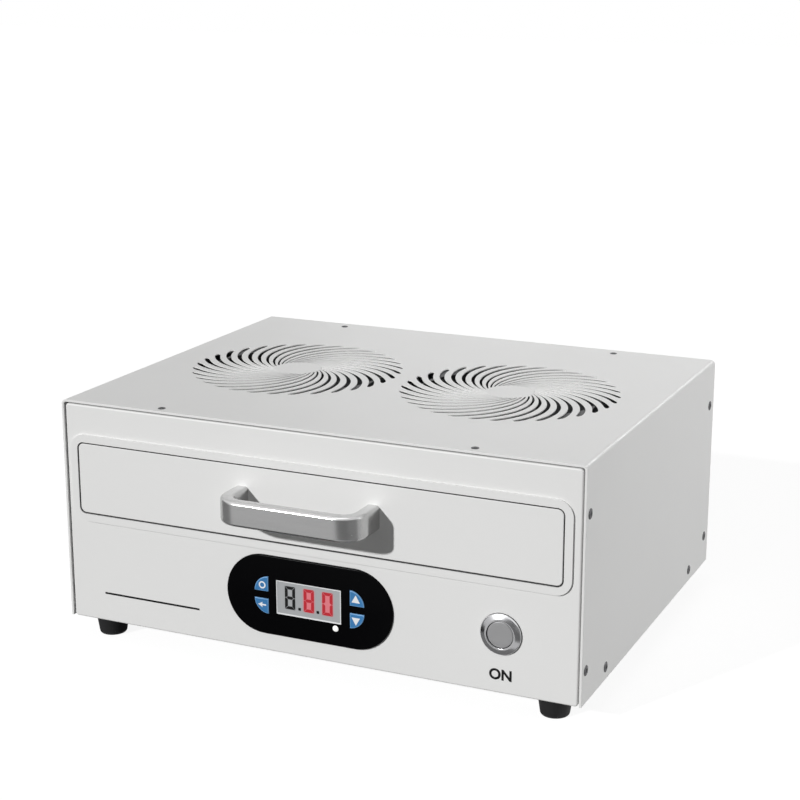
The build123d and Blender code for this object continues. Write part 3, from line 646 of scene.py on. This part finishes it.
def makeCoverGapShade():
    # grey band inside the cover, behind the front panel's edge: painted shade that sets how dark the gap
    # between panel and cover looks
    inset = cover["sheet"] + gapShade["lap"]
    half, high = coverHigh.x / mm - inset, (coverTop - panelFoot) / mm - inset
    strip = band(2 * half, high - coverGapBand["low"], cover["bend"] - cover["sheet"], coverGapBand["deep"], -coverGapBand["thick"])
    middle = at(0, coverGapBand["back"], (high + coverGapBand["low"]) / 2)
    fit(newObject("coverGapShadeBand", move(strip, middle), coverGapGrey), "case", "case_paint")


def carryOn(bm, ring, vector):
    # draws the open end of a tube out along a straight line
    made = bmesh.ops.extrude_edge_only(bm, edges=ring)
    moved = newVerts(made)
    bmesh.ops.translate(bm, vec=vector, verts=moved)
    return [e for e in made["geom"] if isinstance(e, bmesh.types.BMEdge) and all(v in moved for v in e.verts)]


def bendOn(bm, ring, centre):
    # draws it on round a quarter turn
    verts = list(dict.fromkeys(v for e in ring for v in e.verts))
    made = bmesh.ops.spin(bm, geom=verts + ring, cent=centre, axis=(0, 0, 1), dvec=(0, 0, 0),
                          angle=math.pi / 2, steps=handle["bendSteps"], use_duplicate=False)
    return [e for e in made["geom_last"] if isinstance(e, bmesh.types.BMEdge)]


def makeHandle():
    low, high, middle = handle["low"], handle["high"], handle["x"]
    bm = uprightPlate(handle["bar"], high - low, handle["edge"], handle["edgeSteps"])
    move(bm, at(middle + handle["bar"] / 2 - handle["half"], -handle["foot"], (low + high) / 2))
    bmesh.ops.delete(bm, geom=bm.faces[:], context="FACES_ONLY")
    straight = (handle["reach"] - handle["outer"] - handle["foot"]) * mm
    bendX, bendDepth = handle["half"] - handle["outer"], handle["outer"] - handle["reach"]
    ring = carryOn(bm, bm.edges[:], (0, -straight, 0))
    ring = bendOn(bm, ring, at(middle - bendX, bendDepth, 0))
    ring = carryOn(bm, ring, (2 * bendX * mm, 0, 0))
    ring = bendOn(bm, ring, at(middle + bendX, bendDepth, 0))
    carryOn(bm, ring, (0, straight, 0))
    bmesh.ops.remove_doubles(bm, verts=bm.verts, dist=1e-6)
    bmesh.ops.holes_fill(bm, edges=[e for e in bm.edges if e.is_boundary])
    bmesh.ops.recalc_face_normals(bm, faces=bm.faces)
    fit(newObject("bowHandle", bm, handleMetal), "drawer", "handle_metal", "handle")


makeFrontPanel()
makeDrawerFront()
makeGapShadeStrips()
makeCoverGapShade()
makeHandle()
print("front made")


# timer

window = {"left": -21.9, "right": 21.8, "low": 25.8, "high": 47.5, "sunk": 0.3, "rim": 1.0, "slope": 0.12,
          "well": 0.25}
figures = {"height": 14.7, "width": 7.0, "stroke": 2.0, "gap": 0.3, "mid": 37.2, "proud": 0.06,
           "x": (-12.6, 0.1, 12.6), "lit": {"8": "abcdefg", "0": "abcdef"}}
dots = {"x": (-6.2, 6.1), "height": 31.0, "size": 1.8, "corner": 0.3}
keys = {"radius": 9.6, "edge": 0.55, "proud": 2.2, "play": 0.15, "foot": 0.9, "flat": 0.97,
        "places": {"upper_left": (-26.85, 39.2, -1, 1), "lower_left": (-26.85, 34.5, -1, -1),
                   "upper_right": (27.85, 39.2, 1, 1), "lower_right": (27.85, 34.5, 1, -1)}}
marks = {"spot": (4.1, 4.0), "thick": 0.05, "arrow": 3.2, "ring": (1.45, 2.35), "head": 0.62, "headX": -1.1,
         "stem": (2.6, 0.95, 0.1), "stemX": 1.2}
lamp = {"x": 18.0, "height": 22.7, "hole": 2.05,
        "profile": ((0, -2.0), (0.8, -1.95), (1.5, -1.7), (1.95, -1.3), (1.95, 5.0), (0, 5.0))}


def windowMiddle(depth):
    return at((window["left"] + window["right"]) / 2, depth, (window["low"] + window["high"]) / 2)


def windowOutline():
    return window["right"] - window["left"], window["high"] - window["low"]


def quarter(radius, across, up):
    # a flat quarter of a disc from its corner at the origin
    bm = bmesh.new()
    chain(bm, [(0, 0, 0), (radius * mm * across, 0, 0)])
    sweep(bm, (0, 0, 0), (0, -across * up, 0), math.pi / 2, steps=14)
    bmesh.ops.remove_doubles(bm, verts=bm.verts, dist=1e-6)
    bmesh.ops.dissolve_faces(bm, faces=bm.faces[:])
    return bm


def makeBezel():
    width, height = timer["size"]
    plate = block(width, height, roundEnd(height), timer["proud"], timer["edge"], steps=20)
    piece = newObject("timerBezel", move(plate, at(timer["x"], 0, timer["mid"])), bezelFilm)
    cut, start, play = 4, 1, keys["play"]  # each tool starts behind the bezel and passes through it
    tools = [move(block(*windowOutline(), 0.0, cut), windowMiddle(start)),
             move(rod(lamp["hole"], -cut, 2 * start, steps=24), at(lamp["x"], 0, lamp["height"]))]
    for x, height, across, up in keys["places"].values():
        corner = pushOut(quarter(keys["radius"] + 2 * play, across, up), cut)
        tools.append(move(corner, at(x - across * play, start, height - up * play)))
    carve(piece, join(*tools))
    fit(piece, "case", "bezel_black", "timer_bezel", angle=33)


def makeWindow():
    bm = pushOut(uprightPlate(*windowOutline()), timer["proud"] - window["sunk"])
    face = min(bm.faces, key=lambda f: f.calc_center_median().y)
    bmesh.ops.inset_region(bm, faces=[face], thickness=window["rim"] * mm)
    bmesh.ops.inset_region(bm, faces=[face], thickness=window["slope"] * mm, depth=-window["well"] * mm)
    face.material_index = 1
    glass = windowGlass("windowGlass", [at(x, 0, figures["mid"]) for x in figures["x"][1:]])
    piece = newObject("displayWindow", move(bm, windowMiddle(0)), rimInk, glass)
    fit(piece, "case", "window_grey", "display_window")


def segmentOutlines():
    # the seven outlines, named a to g as usual, from three that are mirrored across or up
    across, up, gap = figures["width"] / 2, figures["height"] / 2, figures["gap"] / 2
    stroke, half = figures["stroke"], figures["stroke"] / 2
    inner = across - stroke
    level = ((gap - across, up), (across - gap, up), (inner - gap, up - stroke), (gap - inner, up - stroke))
    upright = ((across, up - gap), (across, gap), (across - half, gap), (inner, half + gap),
               (inner, up - stroke - gap))
    tip, side = across - half - gap, inner - gap
    middle = ((-tip, 0), (-side, half), (side, half), (tip, 0), (side, -half), (-side, -half))
    plan = {"a": (level, 1, 1), "b": (upright, 1, 1), "c": (upright, 1, -1), "d": (level, 1, -1),
            "e": (upright, -1, -1), "f": (upright, -1, 1), "g": (middle, 1, 1)}
    return {name: [(x * way, y * rise) for x, y in points] for name, (points, way, rise) in plan.items()}


def onGlass(bm, x, height):
    return move(bm, at(x, window["sunk"] + window["well"] - timer["proud"], height))


def figure(shape, x):
    # one seven-segment figure
    outlines, parts = segmentOutlines(), []
    for name in figures["lit"][shape]:
        bm = bmesh.new()
        bm.faces.new([bm.verts.new((across * mm, 0, up * mm)) for across, up in outlines[name]])
        parts.append(onGlass(pushOut(bm, figures["proud"]), x, figures["mid"]))
    return parts


def dot(x):
    size = dots["size"]
    return onGlass(block(size, size, dots["corner"], figures["proud"]), x, dots["height"])


def makeFigures():
    left, middle, right = figures["x"]
    black = newObject("darkFigure", join(*figure("8", left), *map(dot, dots["x"])), darkSegment)
    red = newObject("redFigures", join(*figure("8", middle), *figure("0", right)), redSegment)
    for piece in (black, red):
        fit(piece, "case", "window_grey")


def arrowUp(turn=0.0):
    # an arrow head, which points up where it isn't turned
    bm = bmesh.new()
    bmesh.ops.create_circle(bm, cap_ends=True, segments=3, radius=marks["arrow"] * mm)
    bmesh.ops.rotate(bm, matrix=Matrix.Rotation(math.radians(turn), 3, "Y") @ tipForward, verts=bm.verts)
    return pushOut(bm, marks["thick"])


def arrowDown():
    return arrowUp(180.0)


def ringMark():
    return flatRing(*marks["ring"], marks["thick"], steps=28)


def enterMark():
    # an arrow that comes from the right and points left
    small = Matrix.Rotation(-math.pi / 2, 3, "Y") @ Matrix.Scale(marks["head"], 3)
    head = move(arrowUp(), Vector((marks["headX"] * mm, 0, 0)), small)
    stem = move(block(*marks["stem"], marks["thick"]), Vector((marks["stemX"] * mm, 0, 0)))
    return join(head, stem)


def makeKeys():
    shapes = {"upper_left": ringMark, "lower_left": enterMark,
              "upper_right": arrowUp, "lower_right": arrowDown}
    for place, (x, height, across, up) in keys["places"].items():
        cap = pushOut(quarter(keys["radius"], across, up), keys["foot"] + keys["proud"])
        soften(cap, frontEdges(cap), keys["edge"], steps=3)
        for face in cap.faces:  # its front in blue, the rounded rim in a paler blue as a painted highlight
            face.material_index = int(face.normal.y > -keys["flat"])
        piece = newObject("timerKey_" + place, move(cap, at(x, keys["foot"], height)), keyMould, keyEdgeHighlight)
        fit(piece, "key_" + place, "key_blue", "key_" + place, angle=33)
        right, rise = marks["spot"]
        middle = at(x + across * right, -keys["proud"], height + up * rise)
        mark = newObject("keyMark_" + place, move(shapes[place](), middle), whiteInk)
        fit(mark, "key_" + place, "key_blue")


def makeIndicator():
    lens = move(turned(lamp["profile"], steps=24), at(lamp["x"], 0, lamp["height"]))
    fit(newObject("indicatorLens", lens, lampWhite), "case", "indicator", "indicator_lamp")


makeBezel()
makeWindow()
makeFigures()
makeKeys()
makeIndicator()
print("timer made")


# start button and the printing round it

buttonForms = {
    "ring": ((8.3, 18.0), (8.3, -2.3), (8.34, -2.58), (8.5, -2.7), (9.0, -2.74), (9.6, -2.66), (11.9, -1.75),
             (12.35, -1.48), (12.58, -1.15), (12.62, -0.8), (10.85, -0.8), (10.85, 18.0)),
    "darkEdgeGasket": ((10.9, -0.78), (12.7, -0.78), (12.7, 0.0), (10.9, 0.0)),
    "cap": ((0, -2.05), (5.0, -2.08), (7.4, -2.1), (7.8, -1.95), (7.98, -1.6), (8.0, -1.2), (8.0, 14.0),
            (0, 14.0))}
label = {"words": "ON", "size": 9.0, "height": 11.2, "proud": 0.02, "thick": 0.04, "bold": 0.3}
rule = {"x": -111.5, "height": 18.9, "size": (69.2, 1.25), "thick": 0.06}


def makeButton():
    middle = at(button["x"], 0, button["mid"])
    ring = newObject("buttonRing", move(turned(buttonForms["ring"], steps=72), middle), ringMetal)
    fit(ring, "case", "button_chrome", "button_housing")
    # black rubber ring under the chrome ring's outer edge, which also stands as painted shade for the dark
    # line round that edge
    darkEdgeGasket = newObject("buttonDarkEdgeGasket", move(turned(buttonForms["darkEdgeGasket"], steps=64), middle), footRubber)
    fit(darkEdgeGasket, "case", "button_chrome")
    cap = newObject("buttonCap", move(turned(buttonForms["cap"], steps=64), middle), capMetal)
    fit(cap, "start_button", "cap_metal", "start_button")


def makeLabel():
    # flat letters, made a mesh and then placed
    curve = bpy.data.curves.new("onLabel", "FONT")
    curve.body = label["words"]
    curve.size = label["size"] * mm
    curve.align_x = curve.align_y = "CENTER"
    curve.extrude = label["thick"] * mm
    curve.offset = label["bold"] * mm
    writing = bpy.data.objects.new("onLabel", curve)
    scene.collection.objects.link(writing)
    bpy.context.view_layer.update()
    mesh = bpy.data.meshes.new_from_object(writing.evaluated_get(bpy.context.evaluated_depsgraph_get()))
    bpy.data.objects.remove(writing)
    bm = bmesh.new()
    bm.from_mesh(mesh)
    move(bm, at(button["x"], -label["proud"], label["height"]), tipForward)
    bmesh.ops.remove_doubles(bm, verts=bm.verts, dist=1e-7)
    bmesh.ops.recalc_face_normals(bm, faces=bm.faces)
    fit(newObject("onLabel", bm, blackInk), "case", "case_paint")


def makeRule():
    line = move(block(*rule["size"], 0.0, rule["thick"]), at(rule["x"], 0, rule["height"]))
    fit(newObject("panelRule", line, blackInk), "case", "case_paint")


makeButton()
makeLabel()
makeRule()
print("button made")


# screws and feet

# the profile in radii and rises, the recess as length, width and depth
screw = {"radius": 3.25, "rise": 0.58, "recess": (3.4, 0.7, 0.4),
         "profile": ((0, 1), (0.5, 1), (0.8, 0.86), (0.95, 0.55), (1, 0.2), (1, 0), (0, 0))}
sideScrews = {"spots": ((6.6, 20.5), (6.6, 114.0), (260.0, 20.5), (260.0, 114.0), (43.6, 8.1), (223.2, 8.1)),
              "twist": 0.5}
topScrews = {"spots": ((-103.4, 6.6), (-103.4, 260.0), (103.4, 6.6), (103.4, 260.0)), "size": 0.74,
             "first": 0.4, "twist": 0.6}
foot = {"x": 151.6, "depths": (15.6, 254.4), "profile": (
    (0, 1.0), (3.4, 1.0), (3.6, 0.7), (3.6, 0.3), (3.9, 0.0), (7.2, 0.0), (8.1, 0.25), (8.6, 0.8),
    (8.85, 1.7), (10.35, 11.8), (10.6, 12.8), (10.6, 13.6), (0, 13.6))}


def turnedBy(angle):
    # a turn round a line from front to rear
    return Matrix.Rotation(angle, 3, "Y")


def screwHead():
    # a pan head with a cross recess
    radius, rise = screw["radius"], screw["rise"]
    profile = [(radius * out, -rise * up) for out, up in screw["profile"]]
    head = newObject("head", turned(profile, steps=20))
    length, width, deep = screw["recess"]
    for size in ((length, width), (width, length)):
        carve(head, move(block(*size, 0.0, deep + 1), Vector((0, (deep - rise) * mm, 0))))
    bm = bmesh.new()
    bm.from_mesh(head.data)
    bpy.data.objects.remove(head)
    return bm


def setScrews(name, places, finish, slot, node):
    fit(newObject(name, repeat(screwHead(), places), finish), "case", slot, node)


def makeScrews():
    places = []
    for side in (-1, 1):
        outward = Matrix.Rotation(side * math.pi / 2, 3, "Z")
        for count, (depth, height) in enumerate(sideScrews["spots"]):
            spot = at(0, depth, height)
            spot.x = side * coverHigh.x
            places.append((spot, outward @ turnedBy(sideScrews["twist"] * count + side)))
    setScrews("coverSideScrews", places, screwMetal, "screw_dark", "cover_side_screws")
    places = []
    upward = Matrix.Rotation(-math.pi / 2, 3, "X")
    for count, (x, depth) in enumerate(topScrews["spots"]):
        spot = at(x, depth, 0)
        spot.z = coverTop
        twist = turnedBy(topScrews["first"] + topScrews["twist"] * count)
        places.append((spot, upward @ twist @ Matrix.Scale(topScrews["size"], 3)))
    setScrews("coverTopScrews", places, screwMetal, "screw_dark", "cover_top_screws")


def makeFeet():
    places = []
    for x in (-foot["x"], foot["x"]):
        for depth in foot["depths"]:
            places.append((Vector((x * mm, panelFace + depth * mm, 0)), tipForward))
    feet = newObject("rubberFeet", repeat(turned(foot["profile"], steps=40), places), footRubber)
    fit(feet, "case", "foot_rubber", "feet")


makeScrews()
makeFeet()
print("screws and feet made")


# rear

rear = {"depth": cover["length"], "mid": 36.0, "edge": 0.3, "cut": 8.0, "cutFrom": 4.0}
vents = {"x": -90.0, "count": 11, "pitch": 9.0, "width": 3.5, "height": 34.0}
inlet = {"x": 112.0, "hole": (27.4, 20.0), "flange": (50, 24, 6), "thick": 2.0, "edge": 0.6, "lip": 0.25,
         "shell": (27, 19.6, 0.8), "deep": 24.0, "root": 0.5, "mouth": (24, 16.4), "corner": 4.2,
         "well": 14.0, "pin": (2, 4, 0.5), "pins": ((-7, -2), (0, 2), (7, -2)), "screws": (-20, 20),
         "screwSize": 0.68, "twist": 0.4}
switch = {"x": 70.0, "hole": (13.6, 19.6), "flange": (16, 22, 1.2), "thick": 1.6, "edge": 0.5,
          "shell": (13.2, 19.2, 0.4), "deep": 18.0, "root": 0.4, "well": (10.8, 17.2, 0.3), "wellDeep": 7.0,
          "cut": 12.0}
rocker = {"tilt": 9.0, "axis": -1.0, "width": 10.3, "edge": 0.35, "fall": 1.3, "half": 7.4, "proud": 1.27,
          "outline": ((4.0, -4.0), (-2.2, -8.15), (-2.55, -7.4), (-1.25, 0.0), (-2.55, 7.4), (-2.2, 8.15),
                      (4.0, 4.0)),
          "markUp": 4.6, "markThick": 0.06, "offRing": (0.75, 1.15), "onBar": (0.45, 2.4)}


def behind(x, proud, height):
    # a point on the rear, as it stands proud of the rear panel's face
    return at(x, rear["depth"] + proud, height)


def onRear(bm, x, proud, up=0.0):
    return move(bm, behind(x, proud, rear["mid"] + up), faceRear)


def makeRearPanel():
    piece = foldedPanel("rearPanel", behind(0, 0, panel["size"][1] / 2), faceRear)
    width, height = vents["width"], vents["height"]
    tools = []
    for step in range(vents["count"]):
        x = vents["x"] + (step - (vents["count"] - 1) / 2) * vents["pitch"]
        tools.append(onRear(block(width, height, roundEnd(width), rear["cut"]), x, -rear["cutFrom"]))
    for fitting in (inlet, switch):
        tools.append(onRear(block(*fitting["hole"], 0.0, rear["cut"]), fitting["x"], -rear["cutFrom"]))
    carve(piece, join(*tools))
    edgeBreak(piece, rear["edge"], limit=62)
    fit(piece, "case", "case_paint", "rear_panel", angle=33)


def flanged(name, form):
    # a flange with a shell behind it
    x, deep = form["x"], form["deep"]
    piece = newObject(name, onRear(block(*form["flange"], form["thick"], form["edge"]), x, 0), blackMould)
    carve(piece, onRear(block(*form["shell"], deep + form["root"]), x, -deep), "UNION")
    return piece


def makeInlet():
    x, well = inlet["x"], inlet["well"]
    socket = flanged("inletSocket", inlet)
    mouth = uprightPlate(*inlet["mouth"])
    upper = [v for v in mouth.verts if v.co.z > 0]
    bmesh.ops.bevel(mouth, geom=upper, offset=inlet["corner"] * mm, segments=1, profile=0.5,
                    affect="VERTICES", material=-1)
    carve(socket, onRear(pushOut(mouth, inlet["deep"]), x, -well))
    edgeBreak(socket, inlet["lip"], limit=50)
    fit(socket, "case", "moulded_black", "inlet_socket", angle=33)
    pins = []
    for across, up in inlet["pins"]:
        pins.append(onRear(block(*inlet["pin"], well, inlet["edge"]), x + across, -well, up))
    fit(newObject("inletPins", join(*pins), pinMetal), "case", "pin_metal", "inlet_pins")
    places = []
    for across in inlet["screws"]:
        turn = faceRear @ turnedBy(inlet["twist"] * across) @ Matrix.Scale(inlet["screwSize"], 3)
        places.append((behind(x + across, inlet["thick"], rear["mid"]), turn))
    setScrews("inletScrews", places, zincScrew, "screw_zinc", "inlet_screws")


def makeSwitchFrame():
    shell = flanged("switchFrame", switch)
    carve(shell, onRear(block(*switch["well"], switch["cut"]), switch["x"], -switch["wellDeep"]))
    fit(shell, "case", "moulded_black", "switch_frame", angle=33)


def makeRocker():
    axis = behind(switch["x"], rocker["axis"], rear["mid"])
    tilt = Matrix.Rotation(math.radians(rocker["tilt"]), 3, "X")
    half = rocker["width"] / 2
    bm = bmesh.new()
    bm.faces.new([bm.verts.new((-half * mm, inward * mm, up * mm)) for inward, up in rocker["outline"]])
    drawOut(bm, (rocker["width"] * mm, 0, 0))
    soften(bm, [e for e in bm.edges if max(v.co.y for v in e.verts) < 0], rocker["edge"], steps=2)
    piece = newObject("powerRocker", move(move(bm, Vector(), faceRear), axis, tilt), rockerMould)
    fit(piece, "power_rocker", "rocker_black", "power_rocker", angle=33)
    thick, rise = rocker["markThick"], rocker["markUp"]
    ring = flatRing(*rocker["offRing"], thick, steps=24)
    bar = block(*rocker["onBar"], 0.0, thick)
    slope = math.atan2(rocker["fall"], rocker["half"])
    proud = rocker["proud"] + rocker["fall"] * rise / rocker["half"]
    for name, form, up in (("offMark", ring, rise), ("onMark", bar, -rise)):
        lean = Matrix.Rotation(math.copysign(slope, -up), 3, "X")
        spot = tilt @ Vector((0, proud * mm, up * mm))
        mark = newObject(name, move(move(form, Vector(), faceRear), axis + spot, tilt @ lean), whiteInk)
        fit(mark, "power_rocker", "rocker_black")


makeRearPanel()
makeInlet()
makeSwitchFrame()
makeRocker()
print("rear made")


# drawer tray

tray = {"width": 303.0, "front": 11.0, "back": 245.0, "low": 76.0, "high": 105.0, "corner": 1.2, "bend": 0.8,
        "sheet": 1.2, "hem": 0.35}


def makeTray():
    length, deep = tray["back"] - tray["front"], tray["high"] - tray["low"]
    shell = pan(tray["width"], length, tray["corner"], deep, tray["bend"], tray["sheet"])
    spot = at(0, (tray["front"] + tray["back"]) / 2, tray["low"])
    piece = newObject("drawerTray", move(shell, spot, tipForward), trayMetal)
    edgeBreak(piece, tray["hem"], limit=60)
    fit(piece, "drawer", "tray_steel", "tray_floor", "tray_sides", "tray_ends", angle=33)


makeTray()
print("tray made")


# CAD nodes that stay, in their own finishes

kept = {
    paint: ("base_pan",),
    zinc: ("side_plate_left", "side_plate_right", "mid_deck", "fan_shelf", "drawer_backing"),
    slideMetal: ("slide_outer_left", "slide_outer_right", "slide_middle_left", "slide_middle_right",
                 "slide_inner_left", "slide_inner_right"),
    lampMetal: ("lamp_plate",),
    boardWhite: ("lamp_board_left", "lamp_board_right"),
    lampLens: ("lamp_emitters",),
    fanMould: ("fan_frames", "fan_rotor_left", "fan_rotor_right"),
    matRubber: ("tray_mat",),
    magnetMetal: ("drawer_magnet",),
    blackMould: ("drawer_sensor", "timer_case", "timer_clamp", "button_contacts", "supply_terminals"),
    boardGreen: ("timer_board",),
    supplyMetal: ("power_supply",),
    driverMetal: ("lamp_driver",),
    zincScrew: ("fan_screws", "handle_screws", "button_nut", "foot_nuts"),
    springSteel: ("clip_nuts",),
}
for finish, names in kept.items():
    for name in names:
        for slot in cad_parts[name].material_slots:
            slot.material = finish
print("kept nodes finished")


# light, floor and camera

white = (1, 1, 1, 1)
studio = {"fill": 0.174, "ground": 0.2, "seenGround": 0.9, "floor": 6.0}
sun = {"strength": 2.84, "size": 2.2, "way": (0.5, 1.0, -0.505), "distance": 3.0}
softLamps = {
    "rightFill": {"strength": 13.9, "size": 0.8, "spot": (1.72, 0.5, 0.45), "aim": (0.1, 0.08, 0.08)},
    "rearFill": {"strength": 5.0, "size": 1.4, "spot": (-0.4, 2.1, 0.7), "aim": (0, 0.1, 0.08)}}
wall = {"centre": (0.2, -0.125, 0.0015), "near": 0.01, "reach": 2.0, "tall": 0.75,
        "parts": ((165, 207, 0.17), (207, 240, 0.55), (240, 285, 0.14), (285, 345, 0.25), (345, 385, 0.55))}
# for the handle's dark lower edge, the light lines on upper edges, and the one on the cover's right bend
sheets = {"darkCard": {"spot": (-0.06, -0.2, 0.002), "size": (0.13, 0.09), "strength": 0.0},
          "softBox": {"spot": (-0.1, -0.4, 1.5), "size": (0.9, 0.7), "strength": 2.5},
          "bendBox": {"spot": (1.2, 2.44, 1.5), "size": (0.9, 1.6), "strength": 20.0}}
view = {"spot": (0.4624, -1.0051, 0.4401), "turn": 24.48, "down": 14.875, "lens": 79.68}


def anyRay(finish):
    # 1 for what the camera, a gloss or a glass shows
    camera, gloss, glass = (finish.node("LightPath", output="Is %s Ray" % kind)
                            for kind in ("Camera", "Glossy", "Transmission"))
    return camera.larger(gloss.larger(glass))


def glossOnly(name, bm, strength):
    # a glowing card that only gloss shows, so that bright metal has light and dark to mirror
    plain = Finish(name)
    glow = plain.node("Emission", {}, {"Color": white, "Strength": strength})
    plain.node("OutputMaterial", {}, {"Surface": glow})
    piece = newObject(name, bm, plain.owner)
    piece.visible_camera = piece.visible_diffuse = piece.visible_shadow = piece.visible_transmission = False


def makeWallPart(start, end, grey):
    # part of a floor and wall round the front, between two angles in degrees
    centre = Vector(wall["centre"])
    turn = math.radians(start)
    way = Vector((math.cos(turn), math.sin(turn), 0))
    bm = bmesh.new()
    outline = ((wall["near"], 0.0), (wall["reach"], 0.0), (wall["reach"], wall["tall"]))
    chain(bm, [centre + way * reach + Vector((0, 0, high)) for reach, high in outline])
    sweep(bm, centre, (0, 0, 1), math.radians(end - start), steps=12)
    glossOnly("greyCard", bm, grey)


def makeSheet(name, spot, size, strength):
    bm = bmesh.new()
    bmesh.ops.create_grid(bm, x_segments=1, y_segments=1, size=0.5)
    bmesh.ops.scale(bm, vec=(*size, 1), verts=bm.verts)
    bmesh.ops.translate(bm, vec=spot, verts=bm.verts)
    glossOnly(name, bm, strength)


def makeFloor():
    bm = bmesh.new()
    bmesh.ops.create_grid(bm, x_segments=1, y_segments=1, size=studio["floor"])
    pale = Finish("floorWhite")
    shown = anyRay(pale)
    ground = pale.node("BsdfDiffuse", {}, {"Color": (studio["ground"],) * 3 + (1,)})
    lit = pale.node("Emission", {}, {"Color": white, "Strength": studio["seenGround"]})
    both = pale.node("AddShader", {}, {0: ground, 1: lit})
    pale.node("OutputMaterial", {}, {"Surface": pale.node("MixShader", {}, {0: shown, 1: ground, 2: both})})
    newObject("floor", bm, pale.owner)


def makeWorld():
    sky = Finish("studio", "worlds")
    dim = sky.node("Background", {}, {"Color": white, "Strength": studio["fill"]})
    bright = sky.node("Background", {}, {"Color": white, "Strength": 1.0})
    sky.node("OutputWorld", {}, {"Surface": sky.node("MixShader", {}, {0: anyRay(sky), 1: dim, 2: bright})})
    scene.world = sky.owner


def hang(name, thing, spot, aim):
    # puts a lamp at a spot and turns it to what it lights
    holder = bpy.data.objects.new(name, thing)
    holder.location = spot
    holder.rotation_euler = (Vector(aim) - Vector(spot)).to_track_quat("-Z", "Y").to_euler()
    scene.collection.objects.link(holder)


def makeLamps():
    key = bpy.data.lights.new("key", "SUN")
    key.energy = sun["strength"]
    key.angle = math.radians(sun["size"])
    hang("key", key, -Vector(sun["way"]).normalized() * sun["distance"], (0, 0, 0))
    for name, settings in softLamps.items():
        soft = bpy.data.lights.new(name, "AREA")
        soft.energy = settings["strength"]
        soft.shape = "SQUARE"
        soft.size = settings["size"]
        hang(name, soft, settings["spot"], settings["aim"])


def makeCamera():
    camera = bpy.data.cameras.new("camera")
    camera.lens = view["lens"]
    camera.sensor_width = 36.0
    camera.clip_start = 0.05
    holder = bpy.data.objects.new("camera", camera)
    holder.location = view["spot"]
    holder.rotation_euler = (math.radians(90 - view["down"]), 0, math.radians(view["turn"]))
    scene.collection.objects.link(holder)
    scene.camera = holder


makeFloor()
for part in wall["parts"]:
    makeWallPart(*part)
for name, settings in sheets.items():
    makeSheet(name, **settings)
makeWorld()
makeLamps()
makeCamera()
scene.view_settings.view_transform = "Standard"
print("studio made")

bpy.context.view_layer.update()
